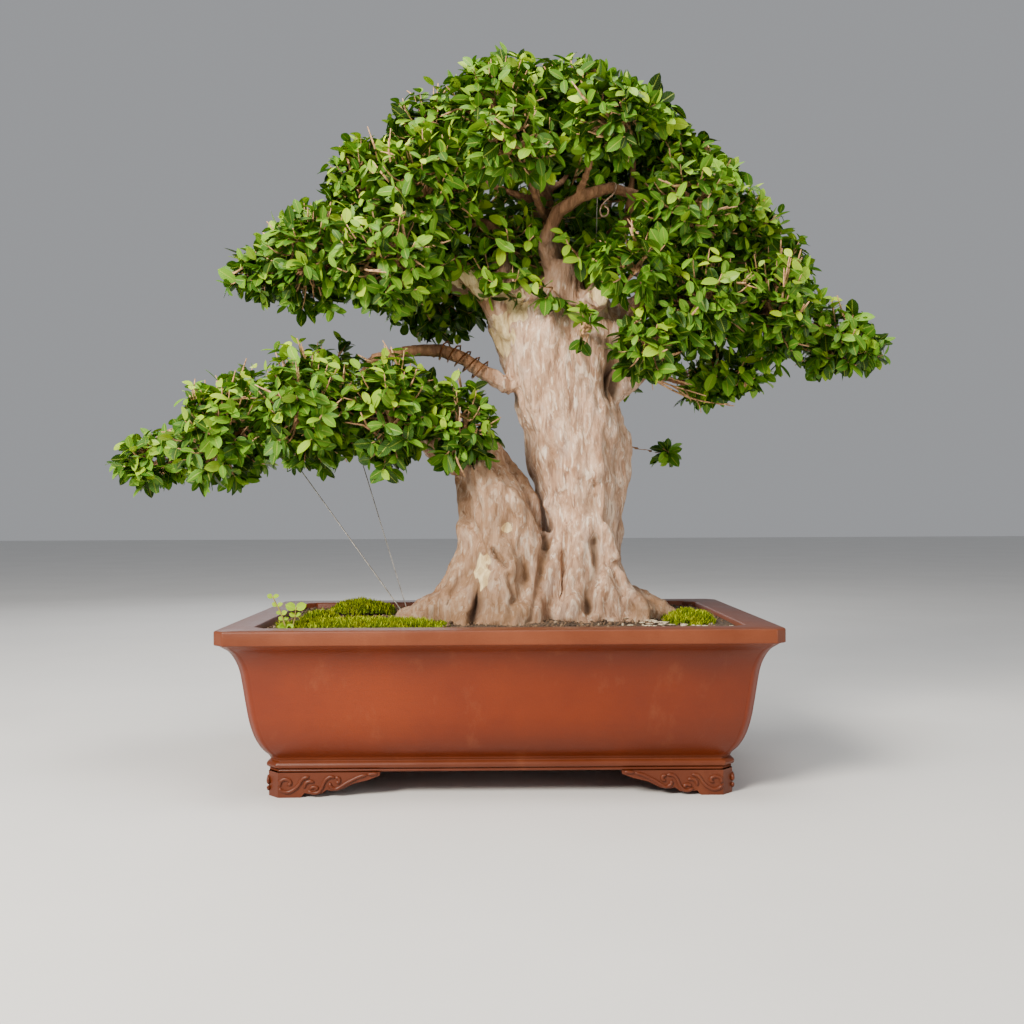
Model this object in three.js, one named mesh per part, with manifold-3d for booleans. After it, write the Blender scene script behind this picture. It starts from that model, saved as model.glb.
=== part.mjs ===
// A jaboticaba bonsai with two trunks in a rectangular unglazed pot on four bracket feet.
// Millimetres, +Z up. The origin lies on the standing surface under the middle of the pot,
// the pot's long side runs along X, and the tree's front looks towards -Y.

import * as THREE from "three";
import { mergeVertices } from "three/addons/utils/BufferGeometryUtils.js";
import Module from "manifold-3d";

const wasm = await Module();
wasm.setup();

// Driving dimensions of the pot
const RIM_LENGTH = 640;
const RIM_WIDTH = 420;
const RIM_TOP = 197;
const RIM_HEIGHT = 17;
const RIM_CORNER = 12;
const RIM_BEVEL = 1.5;
const BELT_INSET = 48;
const BELT_BOTTOM = 29;
const BELT_TOP = 41;
const FOOT_INSET = 50;
const FOOT_THICKNESS = 18;
const FOOT_REACH_LONG = 130;
const FOOT_REACH_SHORT = 92;
const FLOOR_TOP = 43;
const DRAIN_RADIUS = 14;
const DRAIN_OFFSET = 150;

// The pot's filling
const SCREEN_SIZE = 44;
const SCREEN_THICKNESS = 2;
const GRIT_TOP = 66;
const SOIL_LEVEL = 189;
const SOIL_RISE = 9;
const SOIL_CELL = 90;

// Clearances between pieces that touch
const GAP = 0.4;
const WOOD_GAP = 0.6;

// Foliage: leaves larger than life, so that a few hundred cover the tree
const LEAF_LENGTH = 56;
const LEAF_WIDTH = 34;
const LEAF_RIB = 2.2;
const LEAF_SINK = 7;
const LEAF_SPACING = 38;
const CORE_SHARE = 0.88;
const CORE_ROUGHNESS = 0.12;

// Wires
const GUY_RADIUS = 0.7;
const TRAINING_RADIUS = 1.3;
const TRAINING_TURNS = 5;
const TRAINING_STANDOFF = 2.2;

const vec = (x, y, z) => new THREE.Vector3(x, y, z);
const UP = vec(0, 0, 1);

// Seeded random numbers from 0 to 1
function randomFrom(seed) {
  let state = seed;
  return () => {
    state = (state + 0x6d2b79f5) | 0;
    let t = Math.imul(state ^ (state >>> 15), 1 | state);
    t = (t + Math.imul(t ^ (t >>> 7), 61 | t)) ^ t;
    return ((t ^ (t >>> 14)) >>> 0) / 4294967296;
  };
}

// A closed three.js geometry as a solid that can be joined and cut
function solidOf(geometry) {
  const bare = new THREE.BufferGeometry();
  bare.setAttribute("position", geometry.getAttribute("position"));
  bare.setIndex(geometry.getIndex());
  const merged = mergeVertices(bare, 1e-3);
  return new wasm.Manifold(
    new wasm.Mesh({
      numProp: 3,
      vertProperties: new Float32Array(merged.getAttribute("position").array),
      triVerts: new Uint32Array(merged.getIndex().array),
    }),
  );
}

// A solid as a three.js geometry
function geometryOf(solid) {
  const mesh = solid.getMesh();
  const geometry = new THREE.BufferGeometry();
  geometry.setAttribute("position", new THREE.BufferAttribute(mesh.vertProperties, 3));
  geometry.setIndex(new THREE.BufferAttribute(mesh.triVerts, 1));
  geometry.computeVertexNormals();
  return geometry;
}

const joined = (solids) => solids.reduce((all, one) => all.add(one));
const cutBy = (solid, tools) => tools.reduce((rest, tool) => rest.subtract(tool), solid);

// The largest body of a solid, so that a cut leaves no loose scrap
function largest(solid) {
  return solid.decompose().reduce((a, b) => (b.volume() > a.volume() ? b : a));
}

function boxOf(solid) {
  const { min, max } = solid.boundingBox();
  return new THREE.Box3(vec(...min), vec(...max));
}

const withBox = (solid) => ({ solid, box: boxOf(solid) });

function touches(item, others) {
  return others.some(
    (other) => other.box.intersectsBox(item.box) && item.solid.intersect(other.solid).volume() > 0,
  );
}

const near = (solid, items) =>
  items.filter((item) => item.box.intersectsBox(boxOf(solid))).map((item) => item.solid);

// A closed geometry from points and triangles
function meshFrom(points, faces) {
  const geometry = new THREE.BufferGeometry();
  geometry.setAttribute(
    "position",
    new THREE.Float32BufferAttribute(points.flatMap((p) => [p.x, p.y, p.z]), 3),
  );
  geometry.setIndex(faces.flat());
  return geometry;
}

// A closed skin over rings of points, each ring turning anticlockwise about the way forward
function loft(rings) {
  const sides = rings[0].length;
  const points = rings.flat();
  const faces = [];
  for (let r = 0; r + 1 < rings.length; r++) {
    for (let i = 0; i < sides; i++) {
      const a = r * sides + i;
      const b = r * sides + ((i + 1) % sides);
      faces.push([a, b, b + sides], [a, b + sides, a + sides]);
    }
  }
  for (let i = 1; i + 1 < sides; i++) {
    const last = points.length - sides;
    faces.push([0, i + 1, i], [last, last + i, last + i + 1]);
  }
  return meshFrom(points, faces);
}

// A level ring of the pot: a rectangle with its corners cut at 45 degrees
function potRing(z, inset, corner) {
  const x = RIM_LENGTH / 2 - inset;
  const y = RIM_WIDTH / 2 - inset;
  return [
    [x, -y + corner],
    [x, y - corner],
    [x - corner, y],
    [-x + corner, y],
    [-x, y - corner],
    [-x, -y + corner],
    [-x + corner, -y],
    [x - corner, -y],
  ].map(([px, py]) => vec(px, py, z));
}

const potLoft = (rows) => solidOf(loft(rows.map(([z, inset, corner]) => potRing(z, inset, corner))));

// Outer form from the belt up to the rim: height, inset from the rim's outline, corner cut
const potOutside = () =>
  potLoft([
    [BELT_BOTTOM, BELT_INSET + 3, 13],
    [BELT_BOTTOM + 4, BELT_INSET, 13],
    [BELT_TOP - 3, BELT_INSET, 13],
    [BELT_TOP, BELT_INSET + 3, 13],
    [47, 50, 13],
    [56, 43, 12],
    [70, 36.5, 12],
    [89, 31.5, 12],
    [135, 25, 12],
    [162, 18.5, 12],
    [171, 13.5, 12],
    [176, 8, 12],
    [RIM_TOP - RIM_HEIGHT, 4, RIM_CORNER],
    [RIM_TOP - RIM_HEIGHT + 0.5, 0, RIM_CORNER],
    [RIM_TOP - RIM_BEVEL, 0, RIM_CORNER],
    [RIM_TOP, RIM_BEVEL, RIM_CORNER],
  ]);

// The hollow inside, drawn in or out by a clearance, and carried on above the rim
const potHollow = (clearance, bottom = FLOOR_TOP) =>
  potLoft([
    [bottom, 72 + clearance, 20],
    [56, 60 + clearance, 20],
    [80, 50 + clearance, 18],
    [120, 42 + clearance, 17],
    [RIM_TOP - RIM_HEIGHT, 38 + clearance, 16],
    [RIM_TOP - 2, 37 + clearance, 16],
    [RIM_TOP + 60, 37 + clearance, 16],
  ]);

// One face of a foot, seen from outside: cloud scrolls that climb to a thin tip under the belt
function footFace(reach) {
  const stretch = reach / FOOT_REACH_LONG;
  const outline = [
    [0, 0],
    [39, 0],
    [43.5, 5.5],
    [48, 4.5],
    [63, 4.5],
    [69, 9],
    [75, 7.5],
    [85, 8.5],
    [100, 16],
    [117, 20],
    [130, 25],
    [130, BELT_BOTTOM + 1],
    [0, BELT_BOTTOM + 1],
  ];
  return new THREE.Shape(outline.map(([along, z]) => new THREE.Vector2(along * stretch, z)));
}

// The four feet: two scrolled faces meet at each corner of the pot
function feet() {
  const x = RIM_LENGTH / 2 - FOOT_INSET;
  const y = RIM_WIDTH / 2 - FOOT_INSET;
  const quarterTurns = [0, 1, 2, 3];
  const faces = quarterTurns.flatMap((turn) => {
    const alongLong = turn % 2 === 0;
    const reach = alongLong ? FOOT_REACH_LONG : FOOT_REACH_SHORT;
    const [half, out] = alongLong ? [x, y] : [y, x];
    const slab = new THREE.ExtrudeGeometry(footFace(reach), {
      depth: FOOT_THICKNESS,
      bevelEnabled: false,
    });
    slab.rotateX(Math.PI / 2);
    slab.translate(-half, FOOT_THICKNESS - out, 0);
    const mirrored = slab.clone().scale(-1, 1, 1);
    const index = [...Array(mirrored.getAttribute("position").count).keys()];
    for (let i = 0; i < index.length; i += 3) {
      [index[i + 1], index[i + 2]] = [index[i + 2], index[i + 1]];
    }
    mirrored.setIndex(index);
    return [slab, mirrored].map((one) => solidOf(one.rotateZ((turn * Math.PI) / 2)));
  });
  const footprint = potLoft([
    [-1, FOOT_INSET, 13],
    [BELT_BOTTOM + 2, FOOT_INSET, 13],
  ]);
  return joined(faces).intersect(footprint);
}

function drainHoles(radius, z, depth) {
  return [-DRAIN_OFFSET, DRAIN_OFFSET].map((x) => {
    const hole = new THREE.CylinderGeometry(radius, radius, depth, 16);
    return solidOf(hole.rotateX(Math.PI / 2).translate(x, 0, z));
  });
}

const pot = () => cutBy(potOutside().subtract(potHollow(0)).add(feet()), drainHoles(DRAIN_RADIUS, 36, 30));

function block(width, depth, height, x, y, z) {
  return solidOf(new THREE.BoxGeometry(width, depth, height).translate(x, y, z));
}

const screenMiddle = FLOOR_TOP + GAP + SCREEN_THICKNESS / 2;

// A square of plastic mesh over a drainage hole
function screen(x) {
  const pitch = SCREEN_SIZE / 2;
  const meshes = [-0.5, 0.5].flatMap((column) =>
    [-0.5, 0.5].map((row) => block(pitch - 5, pitch - 5, 10, x + column * pitch, row * pitch, screenMiddle)),
  );
  return cutBy(block(SCREEN_SIZE, SCREEN_SIZE, SCREEN_THICKNESS, x, 0, screenMiddle), meshes);
}

// Coarse drainage grit on the pot's floor
function grit() {
  const above = block(RIM_LENGTH, RIM_WIDTH, 300, 0, 0, GRIT_TOP + 150);
  const room = [-DRAIN_OFFSET, DRAIN_OFFSET].map((x) =>
    block(SCREEN_SIZE + 1, SCREEN_SIZE + 1, SCREEN_THICKNESS + 2, x, 0, screenMiddle),
  );
  return cutBy(potHollow(GAP, FLOOR_TOP + GAP), [above, ...room]);
}

// Height of the soil: highest round the trunks, with low swells
function groundHeight(x, y) {
  const fromTree = Math.hypot((x - 60) / 190, (y + 10) / 120);
  const swell = 1.6 * Math.sin(x / 37 + 1) * Math.cos(y / 29);
  return SOIL_LEVEL + SOIL_RISE * Math.exp(-fromTree * fromTree) + swell;
}

// Everything between the grit and the soil's surface, lifted by some height
function ground(lift) {
  const columns = Math.round(RIM_LENGTH / SOIL_CELL);
  const rows = Math.round(RIM_WIDTH / SOIL_CELL);
  const rings = [];
  for (let i = 0; i <= columns; i++) {
    const x = (i / columns - 0.5) * RIM_LENGTH;
    const ring = [];
    for (let j = 0; j <= rows; j++) {
      const y = (j / rows - 0.5) * RIM_WIDTH;
      ring.push(vec(x, y, groundHeight(x, y) + lift));
    }
    ring.push(vec(x, RIM_WIDTH / 2, GRIT_TOP + GAP));
    ring.push(vec(x, -RIM_WIDTH / 2, GRIT_TOP + GAP));
    rings.push(ring.reverse());
  }
  return solidOf(loft(rings));
}

// Trunks, in level sections: height, left edge, right edge, middle in Y, half depth
const MAIN_TRUNK = [
  [124, 66, 146, 0, 44],
  [160, 34, 184, -5, 72],
  [190, 28, 204, -10, 86],
  [224, 46, 178, -10, 74],
  [242, 51, 166, -10, 68],
  [264, 55, 157, -8, 64],
  [320, 56, 158, -5, 62],
  [386, 36, 167, -5, 66],
  [424, 31, 164, -5, 68],
  [482, 13, 150, -5, 68],
  [508, 4, 158, -5, 68],
  [562, -10, 166, -5, 66],
  [588, -8, 154, -5, 60],
  [612, 18, 134, 0, 46],
  [636, 46, 110, 4, 28],
];
const SECOND_TRUNK = [
  [140, -58, 38, -35, 40],
  [170, -84, 50, -42, 54],
  [190, -92, 52, -46, 62],
  [230, -77, 50, -44, 55],
  [253, -63, 52, -42, 52],
  [275, -54, 56, -40, 50],
  [315, -45, 54, -38, 48],
  [346, -40, 45, -35, 46],
  [376, -52, 30, -32, 44],
  [414, -74, 0, -28, 36],
  [430, -84, -20, -26, 30],
];

// A fluted trunk through its sections, swollen by a clearance
function trunk(sections, sides, grow) {
  const last = sections.length - 1;
  const rings = sections.map(([z, left, right, middle, halfDepth], row) => {
    const level = z + (row === 0 ? -grow : row === last ? grow : 0);
    return Array.from({ length: sides }, (_, i) => {
      const turn = (i / sides) * 2 * Math.PI;
      const flute = 1 + 0.06 * Math.cos(3 * turn + z / 70) + 0.05 * Math.cos(5 * turn - z / 50 + 1);
      const x = (left + right) / 2 + ((right - left) / 2 + grow) * flute * Math.cos(turn);
      const y = middle + (halfDepth + grow) * flute * Math.sin(turn);
      return vec(x, y, level);
    });
  });
  return solidOf(loft(rings));
}

// Roots and limbs: their path from the trunk outwards, first and last radius, number of sides
const ROOTS = [
  { path: [[135, -15, 202], [186, -25, 197], [226, -33, 184], [256, -38, 164]], radii: [46, 7], sides: 6 },
  { path: [[-44, -48, 207], [-86, -55, 199], [-120, -62, 186], [-148, -68, 164]], radii: [42, 7], sides: 6 },
  { path: [[-30, -50, 206], [-36, -92, 196], [-42, -124, 164]], radii: [30, 9], sides: 5 },
  { path: [[20, -50, 208], [18, -96, 198], [14, -128, 164]], radii: [34, 9], sides: 5 },
  { path: [[96, -20, 208], [100, -80, 198], [106, -120, 164]], radii: [38, 9], sides: 5 },
  { path: [[130, -20, 208], [168, -72, 198], [196, -106, 164]], radii: [36, 8], sides: 5 },
  { path: [[50, 10, 208], [24, 76, 198], [4, 124, 164]], radii: [36, 8], sides: 5 },
  { path: [[115, 10, 208], [146, 80, 198], [170, 126, 164]], radii: [38, 8], sides: 5 },
  { path: [[-30, -10, 204], [-78, 22, 194], [-118, 46, 164]], radii: [34, 7], sides: 5 },
];
const LIMBS = {
  low_left: {
    path: [
      [-40, -28, 398],
      [-95, -22, 438],
      [-160, -8, 452],
      [-240, 5, 446],
      [-330, 15, 428],
      [-415, 24, 404],
    ],
    radii: [30, 5],
    sides: 7,
  },
  low_left_rear: { path: [[-150, -6, 450], [-215, 55, 466], [-300, 82, 462]], radii: [11, 5], sides: 5 },
  wired_left: {
    path: [[18, -34, 484], [-25, -38, 508], [-64, -38, 531], [-114, -25, 534], [-165, 10, 530]],
    radii: [12, 7],
    sides: 5,
    wired: true,
  },
  high_left: {
    path: [
      [44, -8, 575],
      [-14, -14, 618],
      [-70, -6, 638],
      [-150, 4, 636],
      [-225, 10, 628],
      [-305, 5, 625],
    ],
    radii: [26, 5],
    sides: 5,
  },
  shoulder_left: {
    path: [[72, 0, 600], [30, -5, 665], [-30, -8, 705], [-100, -5, 735], [-165, 0, 746]],
    radii: [19, 5],
    sides: 5,
  },
  leader: {
    path: [[86, 5, 580], [76, 0, 650], [62, 0, 710], [45, 5, 775], [36, 5, 850]],
    radii: [28, 6],
    sides: 6,
  },
  front_right: {
    path: [
      [74, -15, 612],
      [62, -50, 655],
      [60, -64, 682],
      [80, -70, 706],
      [112, -72, 722],
      [149, -75, 728],
      [174, -80, 716],
      [206, -92, 711],
    ],
    radii: [13, 6],
    sides: 5,
  },
  shoulder_right: {
    path: [[100, 5, 594], [135, 10, 670], [180, 10, 720], [238, 5, 760]],
    radii: [24, 6],
    sides: 5,
  },
  right_high: {
    path: [[120, 0, 550], [198, -8, 605], [236, -8, 638], [300, 0, 658], [362, 38, 652]],
    radii: [22, 5],
    sides: 5,
  },
  right_low: {
    path: [
      [112, -10, 462],
      [172, -12, 512],
      [232, -12, 558],
      [300, -18, 576],
      [380, -15, 568],
      [435, -12, 560],
    ],
    radii: [27, 5],
    sides: 7,
  },
  right_thin: {
    path: [[150, -4, 510], [184, 0, 510], [240, 4, 496], [285, 8, 500]],
    radii: [7, 3],
    sides: 5,
  },
  back_right: { path: [[110, 20, 515], [134, 90, 546], [150, 146, 558]], radii: [16, 6], sides: 5 },
  back_mid: { path: [[62, 30, 575], [32, 105, 625], [12, 150, 646]], radii: [16, 6], sides: 5 },
  back_high: { path: [[72, 5, 630], [66, 80, 700], [62, 142, 752]], radii: [14, 5], sides: 5 },
  back_twig: { path: [[118, 30, 436], [172, 112, 420], [228, 148, 413]], radii: [5, 2.5], sides: 4 },
  cut_stump: { path: [[112, -20, 584], [118, -50, 592], [121, -76, 595]], radii: [19, 16], sides: 8 },
};

const curveOf = (path) => new THREE.CatmullRomCurve3(path.map((p) => vec(...p)));

// A tapering branch along a curve, swollen by a clearance
function branch(curve, steps, [firstRadius, lastRadius], sides, grow) {
  const across = vec(0, 0, 0);
  const rings = [];
  for (let step = 0; step <= steps; step++) {
    const t = step / steps;
    const forward = curve.getTangentAt(t);
    if (step === 0) across.crossVectors(forward, Math.abs(forward.z) > 0.8 ? vec(0, 1, 0) : UP);
    across.addScaledVector(forward, -across.dot(forward)).normalize();
    const beside = vec(0, 0, 0).crossVectors(forward, across);
    const centre = curve.getPointAt(t);
    if (step === 0) centre.addScaledVector(forward, -grow);
    if (step === steps) centre.addScaledVector(forward, grow);
    const radius = THREE.MathUtils.lerp(firstRadius, lastRadius, t) + grow;
    rings.push(
      Array.from({ length: sides }, (_, i) => {
        const turn = (i / sides) * 2 * Math.PI;
        return centre
          .clone()
          .addScaledVector(across, radius * Math.cos(turn))
          .addScaledVector(beside, radius * Math.sin(turn));
      }),
    );
  }
  return solidOf(loft(rings));
}

const TRAINING_ROOM = 2 * TRAINING_RADIUS + TRAINING_STANDOFF;

function limb({ path, radii, sides, wired }, grow) {
  const room = wired && grow > 0 ? TRAINING_ROOM : 0;
  const steps = (path.length - 1) * (wired ? 2 : 1);
  return branch(curveOf(path), steps, radii, sides, grow + room);
}

// Heads of foliage: name, centre, half sizes, the limb that bears it and how far along
const HEADS = [
  ["lower_left_tip", [-455, 25, 399], [60, 60, 34], "low_left", 0.93],
  ["lower_left_front", [-345, -60, 433], [78, 80, 54], "low_left", 0.74],
  ["lower_left_rear", [-356, 85, 461], [78, 72, 55], "low_left_rear", 0.95],
  ["lower_left_mid_front", [-240, -95, 452], [80, 78, 66], "low_left", 0.5],
  ["lower_left_mid", [-250, 40, 480], [80, 70, 66], "low_left", 0.58],
  ["lower_left_back", [-240, 141, 505], [78, 66, 58], "wired_left", 0.98],
  ["lower_left_inner_front", [-140, -105, 450], [74, 74, 70], "low_left", 0.27],
  ["lower_left_inner", [-128, 20, 482], [75, 68, 68], "low_left", 0.32],
  ["lower_left_trunk", [-62, -88, 444], [56, 54, 58], "low_left", 0.12],
  ["upper_left_tip", [-303, 0, 638], [50, 52, 42], "high_left", 0.97],
  ["upper_left_front", [-228, -50, 657], [74, 72, 60], "high_left", 0.72],
  ["upper_left_rear", [-228, 80, 695], [76, 72, 62], "high_left", 0.66],
  ["upper_left_inner_front", [-126, -102, 640], [76, 66, 56], "high_left", 0.38],
  ["upper_left_inner", [-128, 30, 672], [75, 66, 60], "high_left", 0.44],
  ["upper_left_back", [-86, 136, 640], [88, 72, 58], "back_mid", 0.5],
  ["shoulder_left_tip", [-182, 0, 754], [64, 76, 52], "shoulder_left", 0.97],
  ["shoulder_left_front", [-97, -90, 722], [72, 66, 64], "shoulder_left", 0.6],
  ["shoulder_left_back", [-112, 95, 806], [78, 72, 62], "shoulder_left", 0.7],
  ["crown_left", [-80, 0, 812], [70, 70, 52], "leader", 0.55],
  ["crown_front", [-2, -90, 807], [72, 62, 62], "leader", 0.6],
  ["crown_top", [39, 0, 860], [82, 78, 57], "leader", 0.95],
  ["crown_front_right", [96, -55, 837], [75, 70, 60], "leader", 0.7],
  ["crown_back", [5, 115, 850], [92, 76, 62], "leader", 0.65],
  ["crown_right", [180, 0, 829], [66, 72, 52], "shoulder_right", 0.62],
  ["crown_back_right", [112, 115, 835], [86, 72, 64], "leader", 0.6],
  ["crown_face", [25, -157, 770], [76, 58, 50], "leader", 0.45],
  ["crown_face_right", [118, -142, 784], [70, 58, 46], "front_right", 0.55],
  ["shoulder_right_tip", [246, 0, 768], [64, 76, 55], "shoulder_right", 0.97],
  ["shoulder_right_front", [226, -104, 706], [72, 60, 56], "front_right", 0.95],
  ["shoulder_right_outer", [308, -15, 710], [66, 76, 50], "right_high", 0.75],
  ["shoulder_right_back", [230, 112, 788], [80, 72, 62], "shoulder_right", 0.7],
  ["right_front", [243, -85, 603], [80, 72, 64], "right_high", 0.42],
  ["right_inner", [165, -124, 622], [60, 50, 42], "right_high", 0.25],
  ["right_mid_front", [336, -60, 592], [80, 76, 66], "right_low", 0.7],
  ["right_rear", [368, 65, 650], [76, 78, 58], "right_high", 0.97],
  ["right_tip", [449, -12, 545], [66, 68, 43], "right_low", 0.95],
  ["right_back", [275, 85, 648], [86, 78, 62], "right_high", 0.7],
  ["right_low_inner", [180, -118, 540], [60, 50, 36], "right_low", 0.3],
  ["right_low", [288, 12, 503], [80, 76, 30], "right_thin", 0.95],
  ["back_low", [150, 134, 560], [86, 62, 52], "back_right", 0.96],
  ["back_mid", [-8, 136, 668], [98, 64, 60], "back_mid", 0.96],
  ["back_high", [86, 136, 736], [110, 72, 76], "back_high", 0.96],
  ["trunk_stem", [106, -106, 548], [24, 18, 30], "cut_stump", 0.55],
  ["back_twig", [240, 152, 412], [26, 14, 11], "back_twig", 0.95],
].map(([name, centre, size, bearer, along]) => ({
  name,
  centre: vec(...centre),
  size: vec(...size),
  bearer,
  along,
}));

const HEAD_LIMB_RADIUS = 9;
const HEAD_LIMB_TIP = 4;

// A head needs a branch of its own where its limb doesn't run through its middle already
function needsBranch(head) {
  return curveOf(LIMBS[head.bearer].path)
    .getSpacedPoints(24)
    .every((point) => point.sub(head.centre).divide(head.size).length() > 0.5);
}

// The short branch that carries one head, from its limb up into the head's middle
function headBranch(head, grow) {
  const start = curveOf(LIMBS[head.bearer].path).getPointAt(head.along);
  const end = head.centre.clone().add(vec(0, 0, -0.15 * head.size.z));
  const middle = start.clone().lerp(end, 0.5).add(vec(0, 0, -0.08 * start.distanceTo(end)));
  const share = Math.min(1, head.size.z / 50);
  const radii = [HEAD_LIMB_RADIUS * share, HEAD_LIMB_TIP * share];
  return branch(new THREE.CatmullRomCurve3([start, middle, end]), 2, radii, 3, grow);
}

// Every length of wood by itself, swollen by a clearance
function woodPieces(grow) {
  return [
    trunk(MAIN_TRUNK, 11, grow),
    trunk(SECOND_TRUNK, 10, grow),
    ...ROOTS.map((root) => limb(root, grow)),
    ...Object.values(LIMBS).map((one) => limb(one, grow)),
    ...HEADS.filter(needsBranch).map((head) => headBranch(head, grow)),
  ];
}

// Guy wires, each between two points of the wood
const GUY_WIRES = {
  guy_wire_outer: [[-122, -54, 203], [-298, 11, 437]],
  guy_wire_inner: [[-117, -50, 206], [-196, -2, 452]],
  guy_wire_crown: [[120, -62, 606], [122, -72, 720]],
};

function guyWire([from, to], grow) {
  const line = new THREE.LineCurve3(vec(...from), vec(...to));
  return branch(line, 1, [GUY_RADIUS, GUY_RADIUS], 5, grow);
}

// Wire wound round the left limb that it bends, in even turns
function trainingWire() {
  const { path, radii } = LIMBS.wired_left;
  const curve = curveOf(path);
  const [from, to] = [0.2, 0.52];
  const stepsPerTurn = 7;
  const steps = TRAINING_TURNS * stepsPerTurn;
  const points = [];
  for (let step = 0; step <= steps; step++) {
    const t = THREE.MathUtils.lerp(from, to, step / steps);
    const forward = curve.getTangentAt(t);
    const across = vec(0, 0, 0).crossVectors(forward, UP).normalize();
    const beside = vec(0, 0, 0).crossVectors(across, forward);
    const radius = THREE.MathUtils.lerp(radii[0], radii[1], t) + TRAINING_RADIUS + TRAINING_STANDOFF;
    const turn = (step / stepsPerTurn) * 2 * Math.PI;
    points.push(
      curve
        .getPointAt(t)
        .addScaledVector(across, radius * Math.cos(turn))
        .addScaledVector(beside, radius * Math.sin(turn)),
    );
  }
  const winding = new THREE.CatmullRomCurve3(points);
  return branch(winding, steps, [TRAINING_RADIUS, TRAINING_RADIUS], 3, 0);
}

// How far a head reaches from its centre in one direction
function reach({ size }, d) {
  return 1 / Math.hypot(d.x / size.x, d.y / size.y, d.z / size.z);
}

// Half-spaces that keep a head clear of every other head
function boundsOf(head) {
  return HEADS.filter((other) => other !== head).map((other) => {
    const normal = other.centre.clone().sub(head.centre);
    const distance = normal.length();
    normal.normalize();
    const own = reach(head, normal);
    const share = own / (own + reach(other, normal.clone().negate()));
    return { normal, limit: distance * share - GAP / 2 };
  });
}

// The dense inner mass of a head: an uneven ball, flat where it meets its neighbours
function coreGeometry(head, random) {
  const ball = new THREE.IcosahedronGeometry(1, 0);
  ball.deleteAttribute("normal");
  ball.deleteAttribute("uv");
  const geometry = mergeVertices(ball, 1e-3);
  const bounds = boundsOf(head);
  const position = geometry.getAttribute("position");
  for (let i = 0; i < position.count; i++) {
    const d = new THREE.Vector3().fromBufferAttribute(position, i).normalize();
    let r = reach(head, d) * (CORE_SHARE + CORE_ROUGHNESS * (2 * random() - 1));
    for (const { normal, limit } of bounds) {
      const towards = d.dot(normal);
      if (towards > 1e-6) r = Math.min(r, limit / towards);
    }
    position.setXYZ(i, head.centre.x + r * d.x, head.centre.y + r * d.y, head.centre.z + r * d.z);
  }
  return geometry;
}

// A thin arched leaf with a ridge along its midrib and a drawn-out tip:
// it starts at its root, points one way and turns its face another
function leaf(root, along, face, length) {
  const right = new THREE.Vector3().crossVectors(along, face);
  const width = (LEAF_WIDTH / LEAF_LENGTH) * length;
  const at = (share, side, lift) => {
    const arch = length * (0.05 * Math.sin(Math.PI * share) - 0.05 * share);
    return root
      .clone()
      .addScaledVector(along, share * length)
      .addScaledVector(right, (side * width) / 2)
      .addScaledVector(face, arch + lift);
  };
  const points = [
    at(0, 0, 0),
    at(0.33, 1, 0.8),
    at(0.36, -0.95, 0),
    at(0.7, 0.76, 0),
    at(0.68, -0.8, 0.8),
    at(1, 0, 0),
    at(0.55, 0, LEAF_RIB),
  ];
  const [base, lowRight, lowLeft, highRight, highLeft, tip, rib] = points.keys();
  return solidOf(
    meshFrom(points, [
      [base, lowRight, rib],
      [lowRight, highRight, rib],
      [highRight, tip, rib],
      [tip, highLeft, rib],
      [highLeft, lowLeft, rib],
      [lowLeft, base, rib],
      [base, lowLeft, lowRight],
      [lowRight, lowLeft, highLeft],
      [lowRight, highLeft, highRight],
      [highRight, highLeft, tip],
    ]),
  );
}

// Places where a leaf can stand on a core: the middle of each facet and towards its corners
function leafSites(geometry) {
  const position = geometry.getAttribute("position");
  const index = geometry.getIndex();
  const sites = [];
  for (let i = 0; i < index.count; i += 3) {
    const corners = [0, 1, 2].map((k) =>
      new THREE.Vector3().fromBufferAttribute(position, index.getX(i + k)),
    );
    const normal = new THREE.Triangle(...corners).getNormal(vec(0, 0, 0));
    const middle = corners[0].clone().add(corners[1]).add(corners[2]).divideScalar(3);
    sites.push({ at: middle, normal });
    for (const corner of corners) sites.push({ at: middle.clone().lerp(corner, 0.6), normal });
  }
  return sites;
}

function shuffled(items, random) {
  return items
    .map((item) => [random(), item])
    .sort((a, b) => a[0] - b[0])
    .map(([, item]) => item);
}

// Puts leaves on every core by one rule: a site is used where a leaf stands free of all else
function addLeaves(heads, obstacles, random) {
  const roots = [];
  const leaves = [];
  for (const head of heads) {
    const others = heads.filter((one) => one !== head).map((one) => one.core);
    const share = Math.min(1, 0.35 + head.thinnest / 70);
    const spacing = share * LEAF_SPACING;
    for (const { at, normal } of shuffled(head.sites, random)) {
      if (roots.some((other) => other.distanceTo(at) < spacing)) continue;
      const length = share * LEAF_LENGTH * (0.85 + 0.3 * random());
      for (let attempt = 0; attempt < 4; attempt++) {
        const turn = 2 * Math.PI * random();
        const compass = vec(Math.cos(turn), Math.sin(turn), 0.5 * (2 * random() - 1));
        const sideways = compass.cross(normal).normalize();
        const along = sideways.multiplyScalar(0.8).addScaledVector(normal, 0.6).normalize();
        const face = normal.clone().addScaledVector(along, -normal.dot(along)).normalize();
        const root = at.clone().addScaledVector(along, -LEAF_SINK);
        const placed = (lift, size) => leaf(root.clone().addScaledVector(face, lift), along, face, size);
        const room = [GAP, -GAP].map((lift) => withBox(placed(lift, length * 1.04)));
        if (room.some((one) => touches(one, [...others, ...obstacles, ...leaves]))) continue;
        const solid = placed(0, length);
        roots.push(at);
        leaves.push(withBox(solid));
        head.solid = head.solid.add(solid);
        break;
      }
    }
  }
}

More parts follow.
